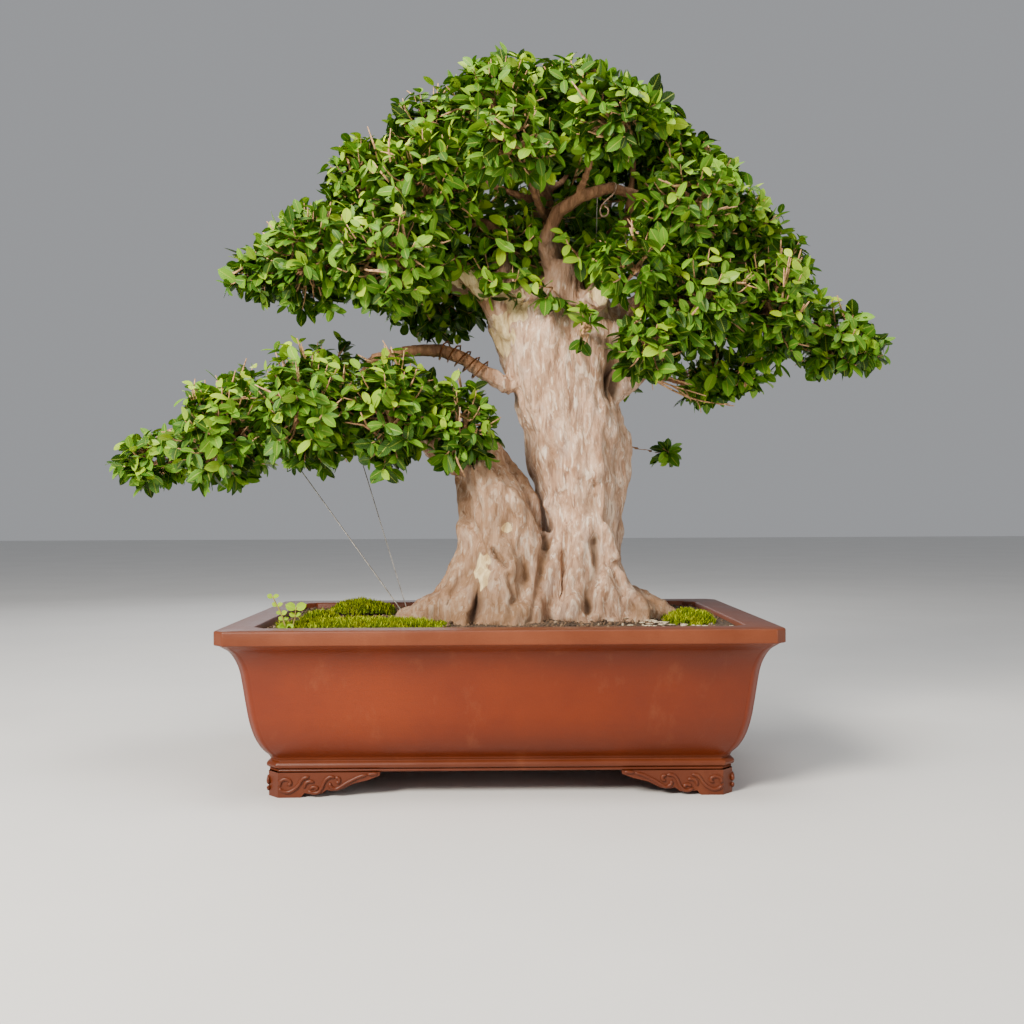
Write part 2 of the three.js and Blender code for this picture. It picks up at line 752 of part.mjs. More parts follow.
// All heads of foliage, kept clear of the wood and of the wires
function foliage(obstacles) {
  const random = randomFrom(11);
  const heads = HEADS.map((head) => {
    const geometry = coreGeometry(head, random);
    const whole = solidOf(geometry);
    const core = largest(cutBy(whole, near(whole, obstacles)));
    const thinnest = Math.min(...head.size);
    return { name: head.name, thinnest, solid: core, core: withBox(core), sites: leafSites(geometry) };
  });
  addLeaves(heads, obstacles, random);
  return heads;
}

// Moss cushions: middle, half sizes
const MOSS = {
  moss_mound: [[-188, 58], [48, 52, 22]],
  moss_front_left: [[-165, -112], [112, 52, 13]],
  moss_clump: [[-226, -42], [30, 26, 16]],
  moss_right: [[232, -62], [36, 62, 14]],
};

function moss([[x, y], [halfX, halfY, height]], seed) {
  const random = randomFrom(seed);
  const ball = new THREE.IcosahedronGeometry(1, 1);
  ball.deleteAttribute("normal");
  ball.deleteAttribute("uv");
  const dome = mergeVertices(ball, 1e-3);
  const position = dome.getAttribute("position");
  for (let i = 0; i < position.count; i++) {
    const r = 0.9 + 0.2 * random();
    const [dx, dy, dz] = [position.getX(i) * r, position.getY(i) * r, position.getZ(i) * r];
    position.setXYZ(i, x + dx * halfX, y + dy * halfY, groundHeight(x, y) - 2 + dz * height);
  }
  return solidOf(dome);
}

// A small seedling: two stems from one root, with leaves in pairs
const SEEDLING_STEMS = [
  [[-250, -132, 178], [-256, -134, 206], [-268, -137, 232]],
  [[-250, -132, 177], [-243, -131, 200], [-240, -134, 217]],
];
const SEEDLING_LEAF = 15;

function seedlingStems(grow) {
  return SEEDLING_STEMS.map((path) => branch(curveOf(path), 3, [1.3, 0.9], 3, grow));
}

function seedling() {
  const leaves = SEEDLING_STEMS.flatMap((path, stem) => {
    const pairs = stem === 0 ? [0.7, 0.96] : [0.94];
    return pairs.flatMap((share, pair) =>
      [1, -1].map((side) => {
        const turn = pair * 1.3 - 0.4;
        const along = vec(side * Math.cos(turn), side * Math.sin(turn), 0.45).normalize();
        const face = UP.clone().addScaledVector(along, -along.z).normalize();
        return leaf(curveOf(path).getPointAt(share), along, face, SEEDLING_LEAF);
      }),
    );
  });
  return joined([...seedlingStems(0), ...leaves]);
}

const PALETTE = {
  clay: { color: 0xa2502c, roughness: 0.55, metalness: 0 },
  plastic: { color: 0x2c2c2c, roughness: 0.6, metalness: 0 },
  grit: { color: 0xa08c70, roughness: 0.95, metalness: 0 },
  soil: { color: 0x33271e, roughness: 0.95, metalness: 0 },
  bark: { color: 0xb39a86, roughness: 0.8, metalness: 0 },
  leaf: { color: 0x2f6b1e, roughness: 0.35, metalness: 0 },
  moss: { color: 0x71801f, roughness: 0.95, metalness: 0 },
  wire: { color: 0xc9c4ba, roughness: 0.35, metalness: 1 },
  copper: { color: 0x8a5a34, roughness: 0.4, metalness: 1 },
};

const part = new THREE.Group();

function addMesh(name, solid, finish) {
  const material = new THREE.MeshStandardMaterial({ ...PALETTE[finish], name: finish });
  const mesh = new THREE.Mesh(geometryOf(solid), material);
  mesh.name = name;
  part.add(mesh);
}

const guyWires = Object.entries(GUY_WIRES);
const swollenGuys = guyWires.map(([, ends]) => guyWire(ends, GAP));
const swollenWood = woodPieces(WOOD_GAP);
const obstacles = [...swollenWood, ...swollenGuys].map(withBox);
const inPot = potHollow(GAP, FLOOR_TOP + GAP);

addMesh("pot", pot(), "clay");
addMesh("drainage_screen_left", screen(-DRAIN_OFFSET), "plastic");
addMesh("drainage_screen_right", screen(DRAIN_OFFSET), "plastic");
addMesh("drainage_grit", grit(), "grit");

const filled = ground(0).intersect(inPot);
const inSoil = [...swollenWood, ...seedlingStems(GAP)].map(withBox);
addMesh("soil", largest(cutBy(filled, near(filled, inSoil))), "soil");

Object.entries(MOSS).forEach(([name, place], i) => {
  const cushion = moss(place, 40 + i).intersect(inPot).subtract(ground(GAP));
  addMesh(name, largest(cutBy(cushion, near(cushion, [...obstacles, ...inSoil]))), "moss");
});
addMesh("seedling", seedling(), "leaf");

addMesh("tree_wood", largest(cutBy(joined(woodPieces(0)), swollenGuys)), "bark");
for (const [name, ends] of guyWires) addMesh(name, guyWire(ends, 0), "wire");
addMesh("training_wire", trainingWire(), "copper");
for (const head of foliage(obstacles)) addMesh(`foliage_${head.name}`, head.solid, "leaf");

export default part;
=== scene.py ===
import math

import bmesh
import bpy
import numpy as np
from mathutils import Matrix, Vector, noise
from mathutils.bvhtree import BVHTree


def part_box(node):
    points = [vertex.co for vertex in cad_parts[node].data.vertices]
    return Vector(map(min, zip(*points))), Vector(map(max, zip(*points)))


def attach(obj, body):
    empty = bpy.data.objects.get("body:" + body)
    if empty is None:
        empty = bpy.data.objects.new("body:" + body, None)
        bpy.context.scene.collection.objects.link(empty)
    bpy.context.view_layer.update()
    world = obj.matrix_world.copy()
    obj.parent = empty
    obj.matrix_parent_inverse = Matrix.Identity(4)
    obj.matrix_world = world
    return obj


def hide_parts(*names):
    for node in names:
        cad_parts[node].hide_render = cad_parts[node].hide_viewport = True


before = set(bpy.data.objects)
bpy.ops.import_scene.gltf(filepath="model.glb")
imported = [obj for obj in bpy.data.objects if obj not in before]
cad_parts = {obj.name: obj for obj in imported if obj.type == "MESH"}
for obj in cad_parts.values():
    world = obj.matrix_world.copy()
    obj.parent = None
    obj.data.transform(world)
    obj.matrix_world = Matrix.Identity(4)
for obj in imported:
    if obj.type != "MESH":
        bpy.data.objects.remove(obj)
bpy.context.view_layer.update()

MM = 0.001
UP = np.array([0.0, 0.0, 1.0])

# Camera of the photograph, facing the pot's long side; its turn and roll are in degrees
CAMERA_PLACE = (0.0, -1.407, 0.328)
CAMERA_LENS = 38.0
CAMERA_YAW = -0.64
CAMERA_ROLL = 0.25

# Lamps: name, place, size, power and colour
LAMPS = (
    ("key", (-1.5, -1.9, 1.75), 0.9, 166, (1.0, 0.93, 0.83)),
    ("fill", (2.2, -1.7, 1.2), 1.6, 26, (1.0, 0.96, 0.9)),
    ("top", (0.1, -0.3, 2.3), 1.1, 40, (1.0, 0.97, 0.92)),
    ("rear", (-0.8, 2.3, 1.6), 1.4, 16, (0.95, 0.97, 1.0)),
)

# Leaves: real length, width as a share of it, the outline between its two ends as (how far along,
# share of the width), and how far the two halves fold up
LEAF_LENGTH = 26 * MM
LEAF_SLIMNESS = 0.5
LEAF_OUTLINE = ((0.09, 0.4), (0.24, 0.84), (0.44, 1), (0.66, 0.94), (0.86, 0.56))
LEAF_FOLD = 0.22

# Heads of foliage: how far apart the shoots and the inner leaves stand, how far the shoots stay
# inside the head's box, and where a shoot's pairs of leaves sit, as shares of its length
SHOOT_SPACING = 26 * MM
INNER_LEAF_SPACING = 23 * MM
SHOOT_MARGIN = 12 * MM
PAIRS = (0.3, 0.54, 0.78, 1.0)
# Places in a head, from its middle at 0 to its surface at 1: where shoots start and end, where
# another head hides them, and where inner leaves and surface twigs lie
SHOOT_START = (0.42, 0.56)
SHOOT_END = (0.74, 1.12)
HIDDEN_DEPTH = 0.78
INNER_LEAVES = (0.3, 0.72)
TWIG_START = 0.66
TWIG_END = (0.9, 1.04)
TWIG_SPACING = 22 * MM

# Outline of the foliage from the front, projected on the pot's middle plane, in millimetres:
# its top, and its underside at the right
CANOPY_TOP = (
    (-358, 630), (-319, 688), (-269, 728), (-224, 786), (-189, 825), (-139, 867), (-95, 888), (-13, 929),
    (39, 940), (116, 923), (146, 901), (194, 884), (245, 825), (306, 780), (385, 711), (430, 627),
    (484, 575), (517, 536),
)
CANOPY_UNDERSIDE = ((199, 0), (200, 470), (260, 468), (319, 488), (390, 503), (456, 511), (520, 524))
# How far shoot tips keep inside the outline, for their leaves
OUTLINE_MARGIN = 11
# Leaves that hang lower than this under the underside belong to a twig of their own
TWIG_DROP = 40

# Leafy shoots on bare limbs: a place on the limb in millimetres, how far they reach and how many
SPRAYS = (
    (-28, -22, 698, 52, 8), (8, -16, 676, 50, 8), (-10, -30, 628, 46, 7), (-48, -18, 640, 48, 7),
    (36, -12, 648, 44, 6), (14, -34, 662, 42, 6), (112, 0, 640, 50, 8), (134, 6, 676, 52, 8),
    (18, -60, 612, 40, 5), (66, -68, 606, 34, 3), (30, 40, 700, 60, 9), (-20, 40, 720, 60, 9),
    (130, 40, 700, 60, 9), (150, 30, 740, 60, 8), (96, -70, 648, 36, 4), (-86, -16, 712, 50, 7),
    (60, -2, 720, 56, 8), (98, -10, 760, 56, 8), (-14, 30, 736, 50, 9), (150, 60, 725, 55, 9),
)

# Bare twigs under the right side: both ends, in millimetres
BARE_TWIGS = (
    ((168, -8, 512), (262, -40, 474)),
    ((184, -6, 508), (300, -30, 462)),
    ((176, -10, 505), (236, -60, 486)),
)

# Wood: the fineness of its skin, the trunks' middle lines with their radii, how far past a radius
# the trunk's bark ends, and the length over which it fades
WOOD_VOXEL = 3.2 * MM
TRUNK_AXES = (
    (((105, -5, 160), (112, -8, 260), (101, -5, 386), (80, -5, 500), (78, -5, 600)), 92),
    (((-18, -45, 160), (-5, -42, 250), (4, -38, 320), (-12, -30, 385), (-60, -26, 440)), 66),
)
TRUNK_MARGIN = 18
TRUNK_FADE = 30
# Lumps of the trunks' bark: height, size in X, Y and Z in millimetres, and place in the noise
BARK_LUMPS = (
    (4.5, (32, 32, 110), 3.1),
    (3.0, (15, 15, 50), 8.7),
    (3.6, (27, 27, 32), 5.3),
    (2.5, (8, 8, 20), 1.4),
)
# Layers over the bark's base: size, upright stretch, detail and distortion of the noise, the two
# stops of the layer's strength, and its colour
BARK_LAYERS = (
    (17, 0.5, 5, 0.0, (0.46, 0.0), (0.62, 0.6), (0.36, 0.205, 0.115)),
    (31, 0.6, 6, 1.0, (0.56, 0.0), (0.64, 0.55), (0.60, 0.44, 0.35)),
    (64, 0.42, 7, 1.6, (0.34, 0.6), (0.43, 0.0), (0.33, 0.19, 0.11)),
    (64, 0.42, 7, 1.6, (0.56, 0.0), (0.62, 0.5), (0.97, 0.79, 0.60)),
    (220, 0.22, 5, 0.0, (0.57, 0.0), (0.66, 0.75), (0.98, 0.83, 0.66)),
    (190, 0.16, 6, 0.0, (0.34, 0.75), (0.41, 0.0), (0.24, 0.13, 0.08)),
)
# Dents and grooves deeper than this get painted shade inside, in millimetres
DARK_DEPTH = 8
# Hollows of the bark, seen from the front: x, z, half width, half height and depth in millimetres;
# a lump's depth is below zero
BARK_DENTS = (
    (-31, 214, 8, 24, 20), (32, 250, 5, 9, 7), (36, 388, 3, 3, 3), (143, 494, 11, 28, 14),
    (118, 360, 4, 4, 6), (12, 306, 9, 12, 7), (-10, 352, 26, 22, -7), (118, 374, 15, 13, -6),
    (130, 235, 14, 30, -6), (84, 225, 13, 34, -6), (8, 238, 13, 36, -6), (-62, 222, 14, 20, -5),
    (60, 545, 26, 26, -6), (150, 250, 10, 26, -5),
)
# Grooves of the bark: half width, depth and the line that each follows from above down, as (x, z)
BARK_GROOVES = (
    (4, 10, ((7, 412), (24, 372), (40, 340), (52, 312), (59, 288))),
    (6, 7, ((59, 288), (54, 262), (48, 236), (38, 194))),
    (2.5, 10, ((-9, 282), (-3, 272), (8, 262))),
    (5, 7, ((-44, 330), (-28, 300), (-36, 262), (-58, 228))),
    (5, 6, ((-24, 380), (0, 350), (14, 318), (18, 286), (30, 262))),
    (4, 5, ((84, 300), (80, 262), (78, 220))),
    (4, 8, ((-64, 262), (-76, 236), (-98, 212))),
    (4, 7, ((140, 262), (150, 236), (160, 206))),
    (3.5, 6, ((10, 250), (14, 224), (12, 196))),
    (7, 10, ((117, 291), (120, 272), (121, 255), (114, 240), (109, 228), (109, 210))),
    (3, 4, ((-30, 360), (-22, 330), (-26, 300), (-16, 270))),
    (4, 7, ((147, 262), (162, 246), (178, 230), (200, 212))),
)
# Ridges that stand out of the trunks in front: first and last radius, how far the line lies in,
# and the line that each follows from above down, as (x, z)
BARK_RIDGES = (
    (13, 18, 0.5, ((64, 350), (78, 300), (70, 250), (60, 192))),
    (11, 15, 0.5, ((92, 320), (96, 260), (88, 192))),
    (10, 15, 0.45, ((128, 316), (136, 268), (150, 232), (182, 200))),
    (14, 17, 0.5, ((-34, 392), (6, 350), (30, 308), (40, 262), (34, 192))),
    (9, 12, 0.5, ((-52, 380), (-42, 320), (-46, 270), (-66, 226), (-96, 198))),
    (10, 15, 0.5, ((-12, 262), (-4, 226), (4, 190))),
)
# Torn wood and stubs at the top of the trunk, and wood that closes the seam between the trunks:
# first and last radius, steps from point to point, and a line of points
ADDED_WOOD = (
    (24, 8, 5, ((20, -26, 556), (-8, -34, 600), (-38, -38, 628), (-62, -36, 650))),
    (24, 13, 5, ((26, -22, 566), (12, -32, 618), (2, -28, 662))),
    (30, 22, 5, ((80, -14, 566), (82, -34, 606), (84, -36, 642))),
    (20, 16, 5, ((100, -24, 566), (118, -48, 594), (130, -66, 606))),
    (27, 27, 4, ((38, -58, 176), (46, -54, 230), (52, -44, 270), (56, -30, 290))),
)
# Patches where the bark has peeled or been cut to pale wood: x, z, half width, half height
PALE_PATCHES = (
    (-22, 256, 9, 21), (9, 309, 6, 6), (35, 386, 4, 5), (3, 552, 18, 26),
    (127, 598, 17, 17), (-34, 622, 26, 12), (-94, 440, 9, 7), (-20, 606, 34, 13),
    (22, 586, 14, 20),
)

# Soil surface, as in the frame: level, and the rise round the trunks
SOIL_LEVEL = 189 * MM
SOIL_RISE = 9 * MM
# Loose grains: how many, and half the length and width that they cover
GRAIN_COUNT = 4200
GRAIN_REACH = (0.279, 0.169)
# Pale flakes at the right end: how many, the middle of the patch, its spread, and how far out they lie
FLAKE_COUNT = 60
FLAKE_PLACE = (0.205, -0.115)
FLAKE_SPREAD = (0.03, 0.022)
FLAKE_REACH = (0.275, 0.165)
# Moss: distance from one shoot to the next, length of its lumps, how far its surface lies from the
# soil's at most, and a third of a turn
MOSS_SPACING = 2.2 * MM
MOSS_LUMP = 11 * MM
MOSS_REACH = 30 * MM
THIRD_TURN = 2.094

# Seedling: each stem's line in millimetres with its pairs of leaves, as (share of the line, length),
# and the length of the leaves at its foot
SEEDLING_SHOOTS = (
    (
        ((-250, -132, 178), (-256, -134, 206), (-268, -137, 232)),
        ((0.45, 7), (0.62, 8), (0.8, 7.5), (0.98, 8)),
    ),
    (((-250, -132, 178), (-243, -131, 200), (-240, -134, 217)), ((0.72, 8), (0.98, 14))),
)
FOOT_LEAF_LENGTH = 11

# The hook on the front limb, in millimetres
HOOK_RADIUS = 1.3
HOOK = (
    (136, -72, 734), (143, -86, 729), (141, -88, 717), (130, -87, 707), (124, -87, 697),
    (127, -87, 689), (133, -87, 691), (134, -87, 698), (129, -87, 702),
)


def unit(vectors):
    """Vectors scaled to length one."""
    return vectors / np.maximum(np.linalg.norm(vectors, axis=-1, keepdims=True), 1e-12)


# Materials


class Finish:
    """A procedural material: a Principled shader, and short calls for the nodes that feed it."""

    def __init__(self, name, **sockets):
        self.material = bpy.data.materials.new(name)
        self.material.use_nodes = True
        self.tree = self.material.node_tree
        self.shader = self.tree.nodes["Principled BSDF"]
        self.place = self.node("TexCoord").outputs["Object"]
        for socket, value in sockets.items():
            self.shader.inputs[socket.replace("_", " ")].default_value = value

    def node(self, kind, inputs=None, **settings):
        """A new node with its settings, and its inputs by name or number."""
        made = self.tree.nodes.new("ShaderNode" + kind)
        for setting, value in settings.items():
            setattr(made, setting, value)
        for socket, value in (inputs or {}).items():
            self.feed(made.inputs[socket], value)
        return made

    def feed(self, target, value):
        if isinstance(value, bpy.types.NodeSocket):
            self.tree.links.new(value, target)
        else:
            target.default_value = value

    def noise(self, scale, stretch=(1, 1, 1), detail=4, roughness=0.55, distortion=0.0):
        moved = self.node("Mapping", {"Vector": self.place, "Scale": stretch}).outputs["Vector"]
        inputs = {"Vector": moved, "Scale": scale, "Detail": detail, "Roughness": roughness}
        return self.node("TexNoise", {**inputs, "Distortion": distortion}).outputs["Fac"]

    def ramp(self, value, *stops):
        made = self.node("ValToRGB", {"Fac": value})
        points = made.color_ramp.elements
        while len(points) < len(stops):
            points.new(0.5)
        for point, (place, colour) in zip(points, stops):
            point.position = place
            shade = colour if isinstance(colour, tuple) else (colour,) * 3
            point.color = (*shade, 1)
        return made.outputs["Color"]

    def mix(self, share, first, second):
        under, over = ((*value, 1) if isinstance(value, tuple) else value for value in (first, second))
        return self.node("Mix", {"Factor": share, 6: under, 7: over}, data_type="RGBA").outputs[2]

    def calc(self, operation, first, second=0.5):
        return self.node("Math", {0: first, 1: second}, operation=operation).outputs[0]

    def value(self, attribute):
        return self.node("Attribute", attribute_name=attribute).outputs["Fac"]

    def height(self):
        return self.node("SeparateXYZ", {0: self.place}).outputs["Z"]

    def bump(self, height, distance):
        made = self.node("Bump", {"Strength": 1.0, "Distance": distance, "Height": height})
        self.feed(self.shader.inputs["Normal"], made.outputs["Normal"])

    def colour(self, value):
        self.feed(self.shader.inputs["Base Color"], value)

    def roughness(self, value):
        self.feed(self.shader.inputs["Roughness"], value)


def leaf_finish():
    """Waxy leaves: dark when old, darkest deep in a head where the dark is also painted shade, yellow-green
    when young, with a pale midrib and faint side veins.
    """
    finish = Finish("leaf", Roughness=0.4, Specular_IOR_Level=0.2)
    tone = finish.value("tone")
    blade = finish.ramp(
        tone,
        (0.0, (0.009, 0.030, 0.003)),
        (0.3, (0.042, 0.132, 0.010)),
        (0.6, (0.13, 0.30, 0.014)),
        (1.0, (0.42, 0.60, 0.02)),
    )
    across = finish.calc("ABSOLUTE", finish.value("across"))
    rib = finish.ramp(across, (0.0, 1.0), (0.13, 0.0))
    slanted = finish.calc("SUBTRACT", finish.value("along"), finish.calc("MULTIPLY", across, 0.16))
    veins = finish.calc("SINE", finish.calc("MULTIPLY", slanted, 62.0))
    faint = finish.ramp(veins, (0.75, 0.0), (1.0, 0.3))
    marked = finish.mix(faint, blade, (0.20, 0.33, 0.015))
    finish.colour(finish.mix(finish.calc("MULTIPLY", rib, 0.6), marked, (0.40, 0.48, 0.06)))
    finish.bump(finish.calc("SUBTRACT", 0.0, finish.calc("ADD", faint, rib)), 0.25 * MM)
    return finish.material


def bark_finish():
    """Smooth flaking bark: beige and pink-brown streaks, pale where peeled, painted shade in hollows and
    creases.
    """
    finish = Finish("bark", Specular_IOR_Level=0.35)
    streaks = finish.noise(110, (1, 1, 0.27), detail=9, roughness=0.68, distortion=0.6)
    base = finish.ramp(
        streaks,
        (0.30, (0.24, 0.115, 0.06)),
        (0.44, (0.50, 0.295, 0.18)),
        (0.56, (0.70, 0.46, 0.31)),
        (0.74, (0.93, 0.71, 0.52)),
    )
    for scale, flat, detail, distortion, low, high, over in BARK_LAYERS:
        pattern = finish.noise(scale, (1, 1, flat), detail=detail, distortion=distortion)
        base = finish.mix(finish.ramp(pattern, low, high), base, over)
    # Bark darker towards the soil and at the top of the trunk
    ends = finish.ramp(finish.height(), (0.19, 0.5), (0.25, 0.25), (0.33, 0.0), (0.58, 0.0), (0.62, 0.85))
    base = finish.mix(ends, base, (0.155, 0.085, 0.045))
    # Painted shade in the bark's creases, and browner bark on the leaning trunk and the right root
    base = finish.mix(finish.value("crease_shade_and_brown_bark"), base, (0.21, 0.11, 0.042))
    grain = finish.noise(90, (1, 1, 0.4), detail=8, roughness=0.7)
    torn = finish.calc("MULTIPLY", finish.value("pale"), finish.calc("ADD", grain, 0.5))
    peeled = finish.ramp(torn, (0.44, 0.0), (0.6, 0.9))
    darker = finish.ramp(streaks, (0.3, (0.10, 0.042, 0.018)), (0.7, (0.45, 0.23, 0.11)))
    limbs = finish.mix(finish.value("slender"), base, darker)
    bare = finish.ramp(streaks, (0.35, (0.50, 0.31, 0.12)), (0.6, (0.97, 0.79, 0.43)))
    pale = finish.mix(peeled, limbs, bare)
    # Painted shade inside deep hollows and grooves
    finish.colour(finish.mix(finish.value("painted_hollow_shade"), pale, (0.10, 0.055, 0.032)))
    finish.roughness(finish.ramp(streaks, (0.3, 0.78), (0.7, 0.55)))
    cracks = finish.noise(150, (1, 1, 0.22), detail=8, roughness=0.7, distortion=0.8)
    finish.bump(finish.calc("ADD", cracks, streaks), 3.6 * MM)
    return finish.material


def clay_finish():
    """Unglazed burnished clay, orange-brown, pinker on rim, belt, feet; mineral bloom; painted shade by rim
    and foot.
    """
    finish = Finish("clay", Specular_IOR_Level=0.3)
    cloud = finish.noise(9, detail=5, roughness=0.6)
    body = finish.ramp(cloud, (0.3, (0.14, 0.0155, 0.0005)), (0.7, (0.195, 0.025, 0.0008)))
    z = finish.height()
    trim = finish.ramp(z, (0.0, 1.0), (0.043, 1.0), (0.047, 0.0), (0.176, 0.0), (0.181, 1.0))
    pinker = finish.ramp(cloud, (0.3, (0.115, 0.026, 0.008)), (0.7, (0.19, 0.05, 0.018)))
    trimmed = finish.mix(trim, body, pinker)
    # Painted shade in bands low on the body and under the rim, varied by noise
    painted_band_shade = finish.ramp(
        z, (0.045, 0.9), (0.075, 0.3), (0.1, 0.0), (0.13, 0.1), (0.16, 0.6), (0.178, 0.85), (0.181, 0.0)
    )
    painted_band_shade_mottled = finish.calc("MULTIPLY", painted_band_shade, finish.ramp(finish.noise(14, detail=5), (0.3, 0.5), (0.7, 1.0)))
    trimmed = finish.mix(painted_band_shade_mottled, trimmed, (0.075, 0.012, 0.002))
    mineral = finish.noise(24, (1, 1, 0.5), detail=7, roughness=0.7)
    bloom = finish.ramp(mineral, (0.58, 0.0), (0.8, 0.35))
    bloomed = finish.mix(bloom, trimmed, (0.28, 0.09, 0.035))
    # Painted shade on the rim's top face
    top = finish.ramp(z, (0.1965, 0.0), (0.197, 1.0))
    rim_top_shaded = finish.mix(top, bloomed, (0.05, 0.016, 0.008))
    grain = finish.noise(700, detail=3)
    finish.colour(finish.mix(finish.ramp(grain, (0.35, 0.25), (0.6, 0.0)), rim_top_shaded, (0.10, 0.02, 0.005)))
    finish.roughness(finish.ramp(cloud, (0.3, 0.36), (0.7, 0.46)))
    wiped = finish.noise(40, (0.25, 0.25, 1.4), detail=5)
    finish.bump(finish.calc("ADD", finish.calc("MULTIPLY", grain, 0.3), wiped), 0.5 * MM)
    return finish.material


def soil_finish():
    finish = Finish("soil", Roughness=0.95)
    crumbs = finish.noise(240, detail=6, roughness=0.7)
    finish.colour(finish.ramp(crumbs, (0.35, (0.02, 0.012, 0.007)), (0.7, (0.12, 0.075, 0.042))))
    finish.bump(crumbs, 2.5 * MM)
    return finish.material


def grain_finish():
    finish = Finish("soil_grains", Roughness=0.9)
    tone = finish.value("tone")
    finish.colour(
        finish.ramp(tone, (0.0, (0.03, 0.018, 0.01)), (0.6, (0.16, 0.095, 0.05)), (1.0, (0.55, 0.47, 0.33)))
    )
    finish.bump(finish.noise(900, detail=3), 0.4 * MM)
    return finish.material


def moss_finish():
    finish = Finish("moss", Roughness=0.85, Specular_IOR_Level=0.15)
    tone = finish.value("tone")
    patches = finish.noise(45, detail=3)
    fresh = finish.ramp(
        tone, (0.0, (0.02, 0.04, 0.001)), (0.5, (0.17, 0.24, 0.003)), (1.0, (0.80, 0.85, 0.02))
    )
    finish.colour(finish.mix(finish.ramp(patches, (0.45, 0.0), (0.7, 0.5)), fresh, (0.22, 0.22, 0.006)))
    finish.bump(finish.noise(900, detail=4), 0.8 * MM)
    return finish.material


def seedling_finish():
    finish = Finish("seedling_leaf", Roughness=0.6, Specular_IOR_Level=0.15)
    rib = finish.ramp(finish.calc("ABSOLUTE", finish.value("across")), (0.0, 1.0), (0.14, 0.0))
    blade = finish.ramp(finish.value("tone"), (0.0, (0.09, 0.22, 0.002)), (1.0, (0.30, 0.46, 0.004)))
    finish.colour(finish.mix(finish.calc("MULTIPLY", rib, 0.4), blade, (0.42, 0.56, 0.03)))
    return finish.material


def metal_finish(name, dark, light, roughness):
    finish = Finish(name, Metallic=1.0, Roughness=roughness)
    finish.colour(finish.ramp(finish.noise(120, detail=4), (0.3, dark), (0.7, light)))
    return finish.material


def plain_finish(name, dark, light, scale, roughness, depth, detail=5):
    finish = Finish(name, Roughness=roughness)
    grain = finish.noise(scale, detail=detail)
    finish.colour(finish.ramp(grain, (0.3, dark), (0.7, light)))
    finish.bump(grain, depth)
    return finish.material


# Meshes


def placed(name, data):
    """A new object in the scene."""
    made = bpy.data.objects.new(name, data)
    bpy.context.scene.collection.objects.link(made)
    return made


class Gathered:
    """Points, faces and per-point values of many small forms that make one mesh."""

    def __init__(self):
        self.points = []
        self.faces = []
        self.values = {}
        self.count = 0

    def add(self, points, faces, **values):
        points = np.asarray(points, float)
        self.points.append(points)
        self.faces.extend(tuple(int(i) + self.count for i in face) for face in faces)
        for name, value in values.items():
            self.values.setdefault(name, []).append(np.broadcast_to(value, len(points)))
        self.count += len(points)

    def rod(self, path, radii, sides):
        """Adds a tube along a path in metres, with its radii in millimetres."""
        self.add(*tube(path, np.array(radii) * MM, sides))

    def smooth_rod(self, controls, steps, first, last, sides):
        """Adds a tapered tube along a smooth line in millimetres, and returns the line in metres."""
        line = smooth_path(controls, steps) * MM
        self.rod(line, np.linspace(first, last, len(line)), sides)
        return line

    def piece(self, name, material, slot, smooth=True):
        points = np.concatenate(self.points)
        values = {key: np.concatenate(parts) for key, parts in self.values.items()}
        return add_piece(name, points, self.faces, material, values, smooth)


def add_piece(name, points, faces, material, values, smooth=True):
    """A new piece of the object, riding on its one body."""
    mesh = bpy.data.meshes.new(name)
    mesh.from_pydata([tuple(p) for p in points], [], faces)
    for key, numbers in values.items():
        layer = mesh.attributes.new(key, "FLOAT", "POINT")
        layer.data.foreach_set("value", np.asarray(numbers, np.float32))
    if smooth:
        mesh.shade_smooth()
    mesh.materials.append(material)
    piece = placed(name, mesh)
    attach(piece, "root")
    return piece


def ring_faces(count, sides):
    """Faces of a closed skin over rings of points: its walls, and its two ends."""
    walls = []
    for ring in range(count - 1):
        for k in range(sides):
            a, b = ring * sides + k, ring * sides + (k + 1) % sides
            walls.append((a, b, b + sides, a + sides))
    ends = [tuple(reversed(range(sides))), tuple(range((count - 1) * sides, count * sides))]
    return walls, ends


def joined(name, *meshes):
    """A new mesh that holds all the given ones."""
    form = bmesh.new()
    for mesh in meshes:
        form.from_mesh(mesh)
    whole = bpy.data.meshes.new(name)
    form.to_mesh(whole)
    form.free()
    return whole


def tube(path, radii, sides):
    """A closed tube round a path: its points and faces."""
    path = [Vector(p) for p in path]
    points = []
    across = None
    for i, centre in enumerate(path):
        forward = (path[min(i + 1, len(path) - 1)] - path[max(i - 1, 0)]).normalized()
        if across is None:
            across = forward.orthogonal().normalized()
        across = (across - forward * across.dot(forward)).normalized()
        beside = forward.cross(across)
        for k in range(sides):
            turn = math.tau * k / sides
            points.append(centre + float(radii[i]) * (math.cos(turn) * across + math.sin(turn) * beside))
    walls, ends = ring_faces(len(path), sides)
    return points, walls + ends


def smooth_path(controls, steps):
    """Points along a smooth curve through the control points."""
    controls = np.asarray(controls, float)
    padded = np.vstack([2 * controls[0] - controls[1], controls, 2 * controls[-1] - controls[-2]])
    points = []
    for i in range(len(controls) - 1):
        a, b, c, d = padded[i : i + 4]
        for t in np.arange(steps) / steps:
            square = 2 * a - 5 * b + 4 * c - d
            cube = 3 * b - a - 3 * c + d
            points.append(0.5 * (2 * b + (c - a) * t + square * t**2 + cube * t**3))
    points.append(controls[-1])
    return np.array(points)


# Leaves


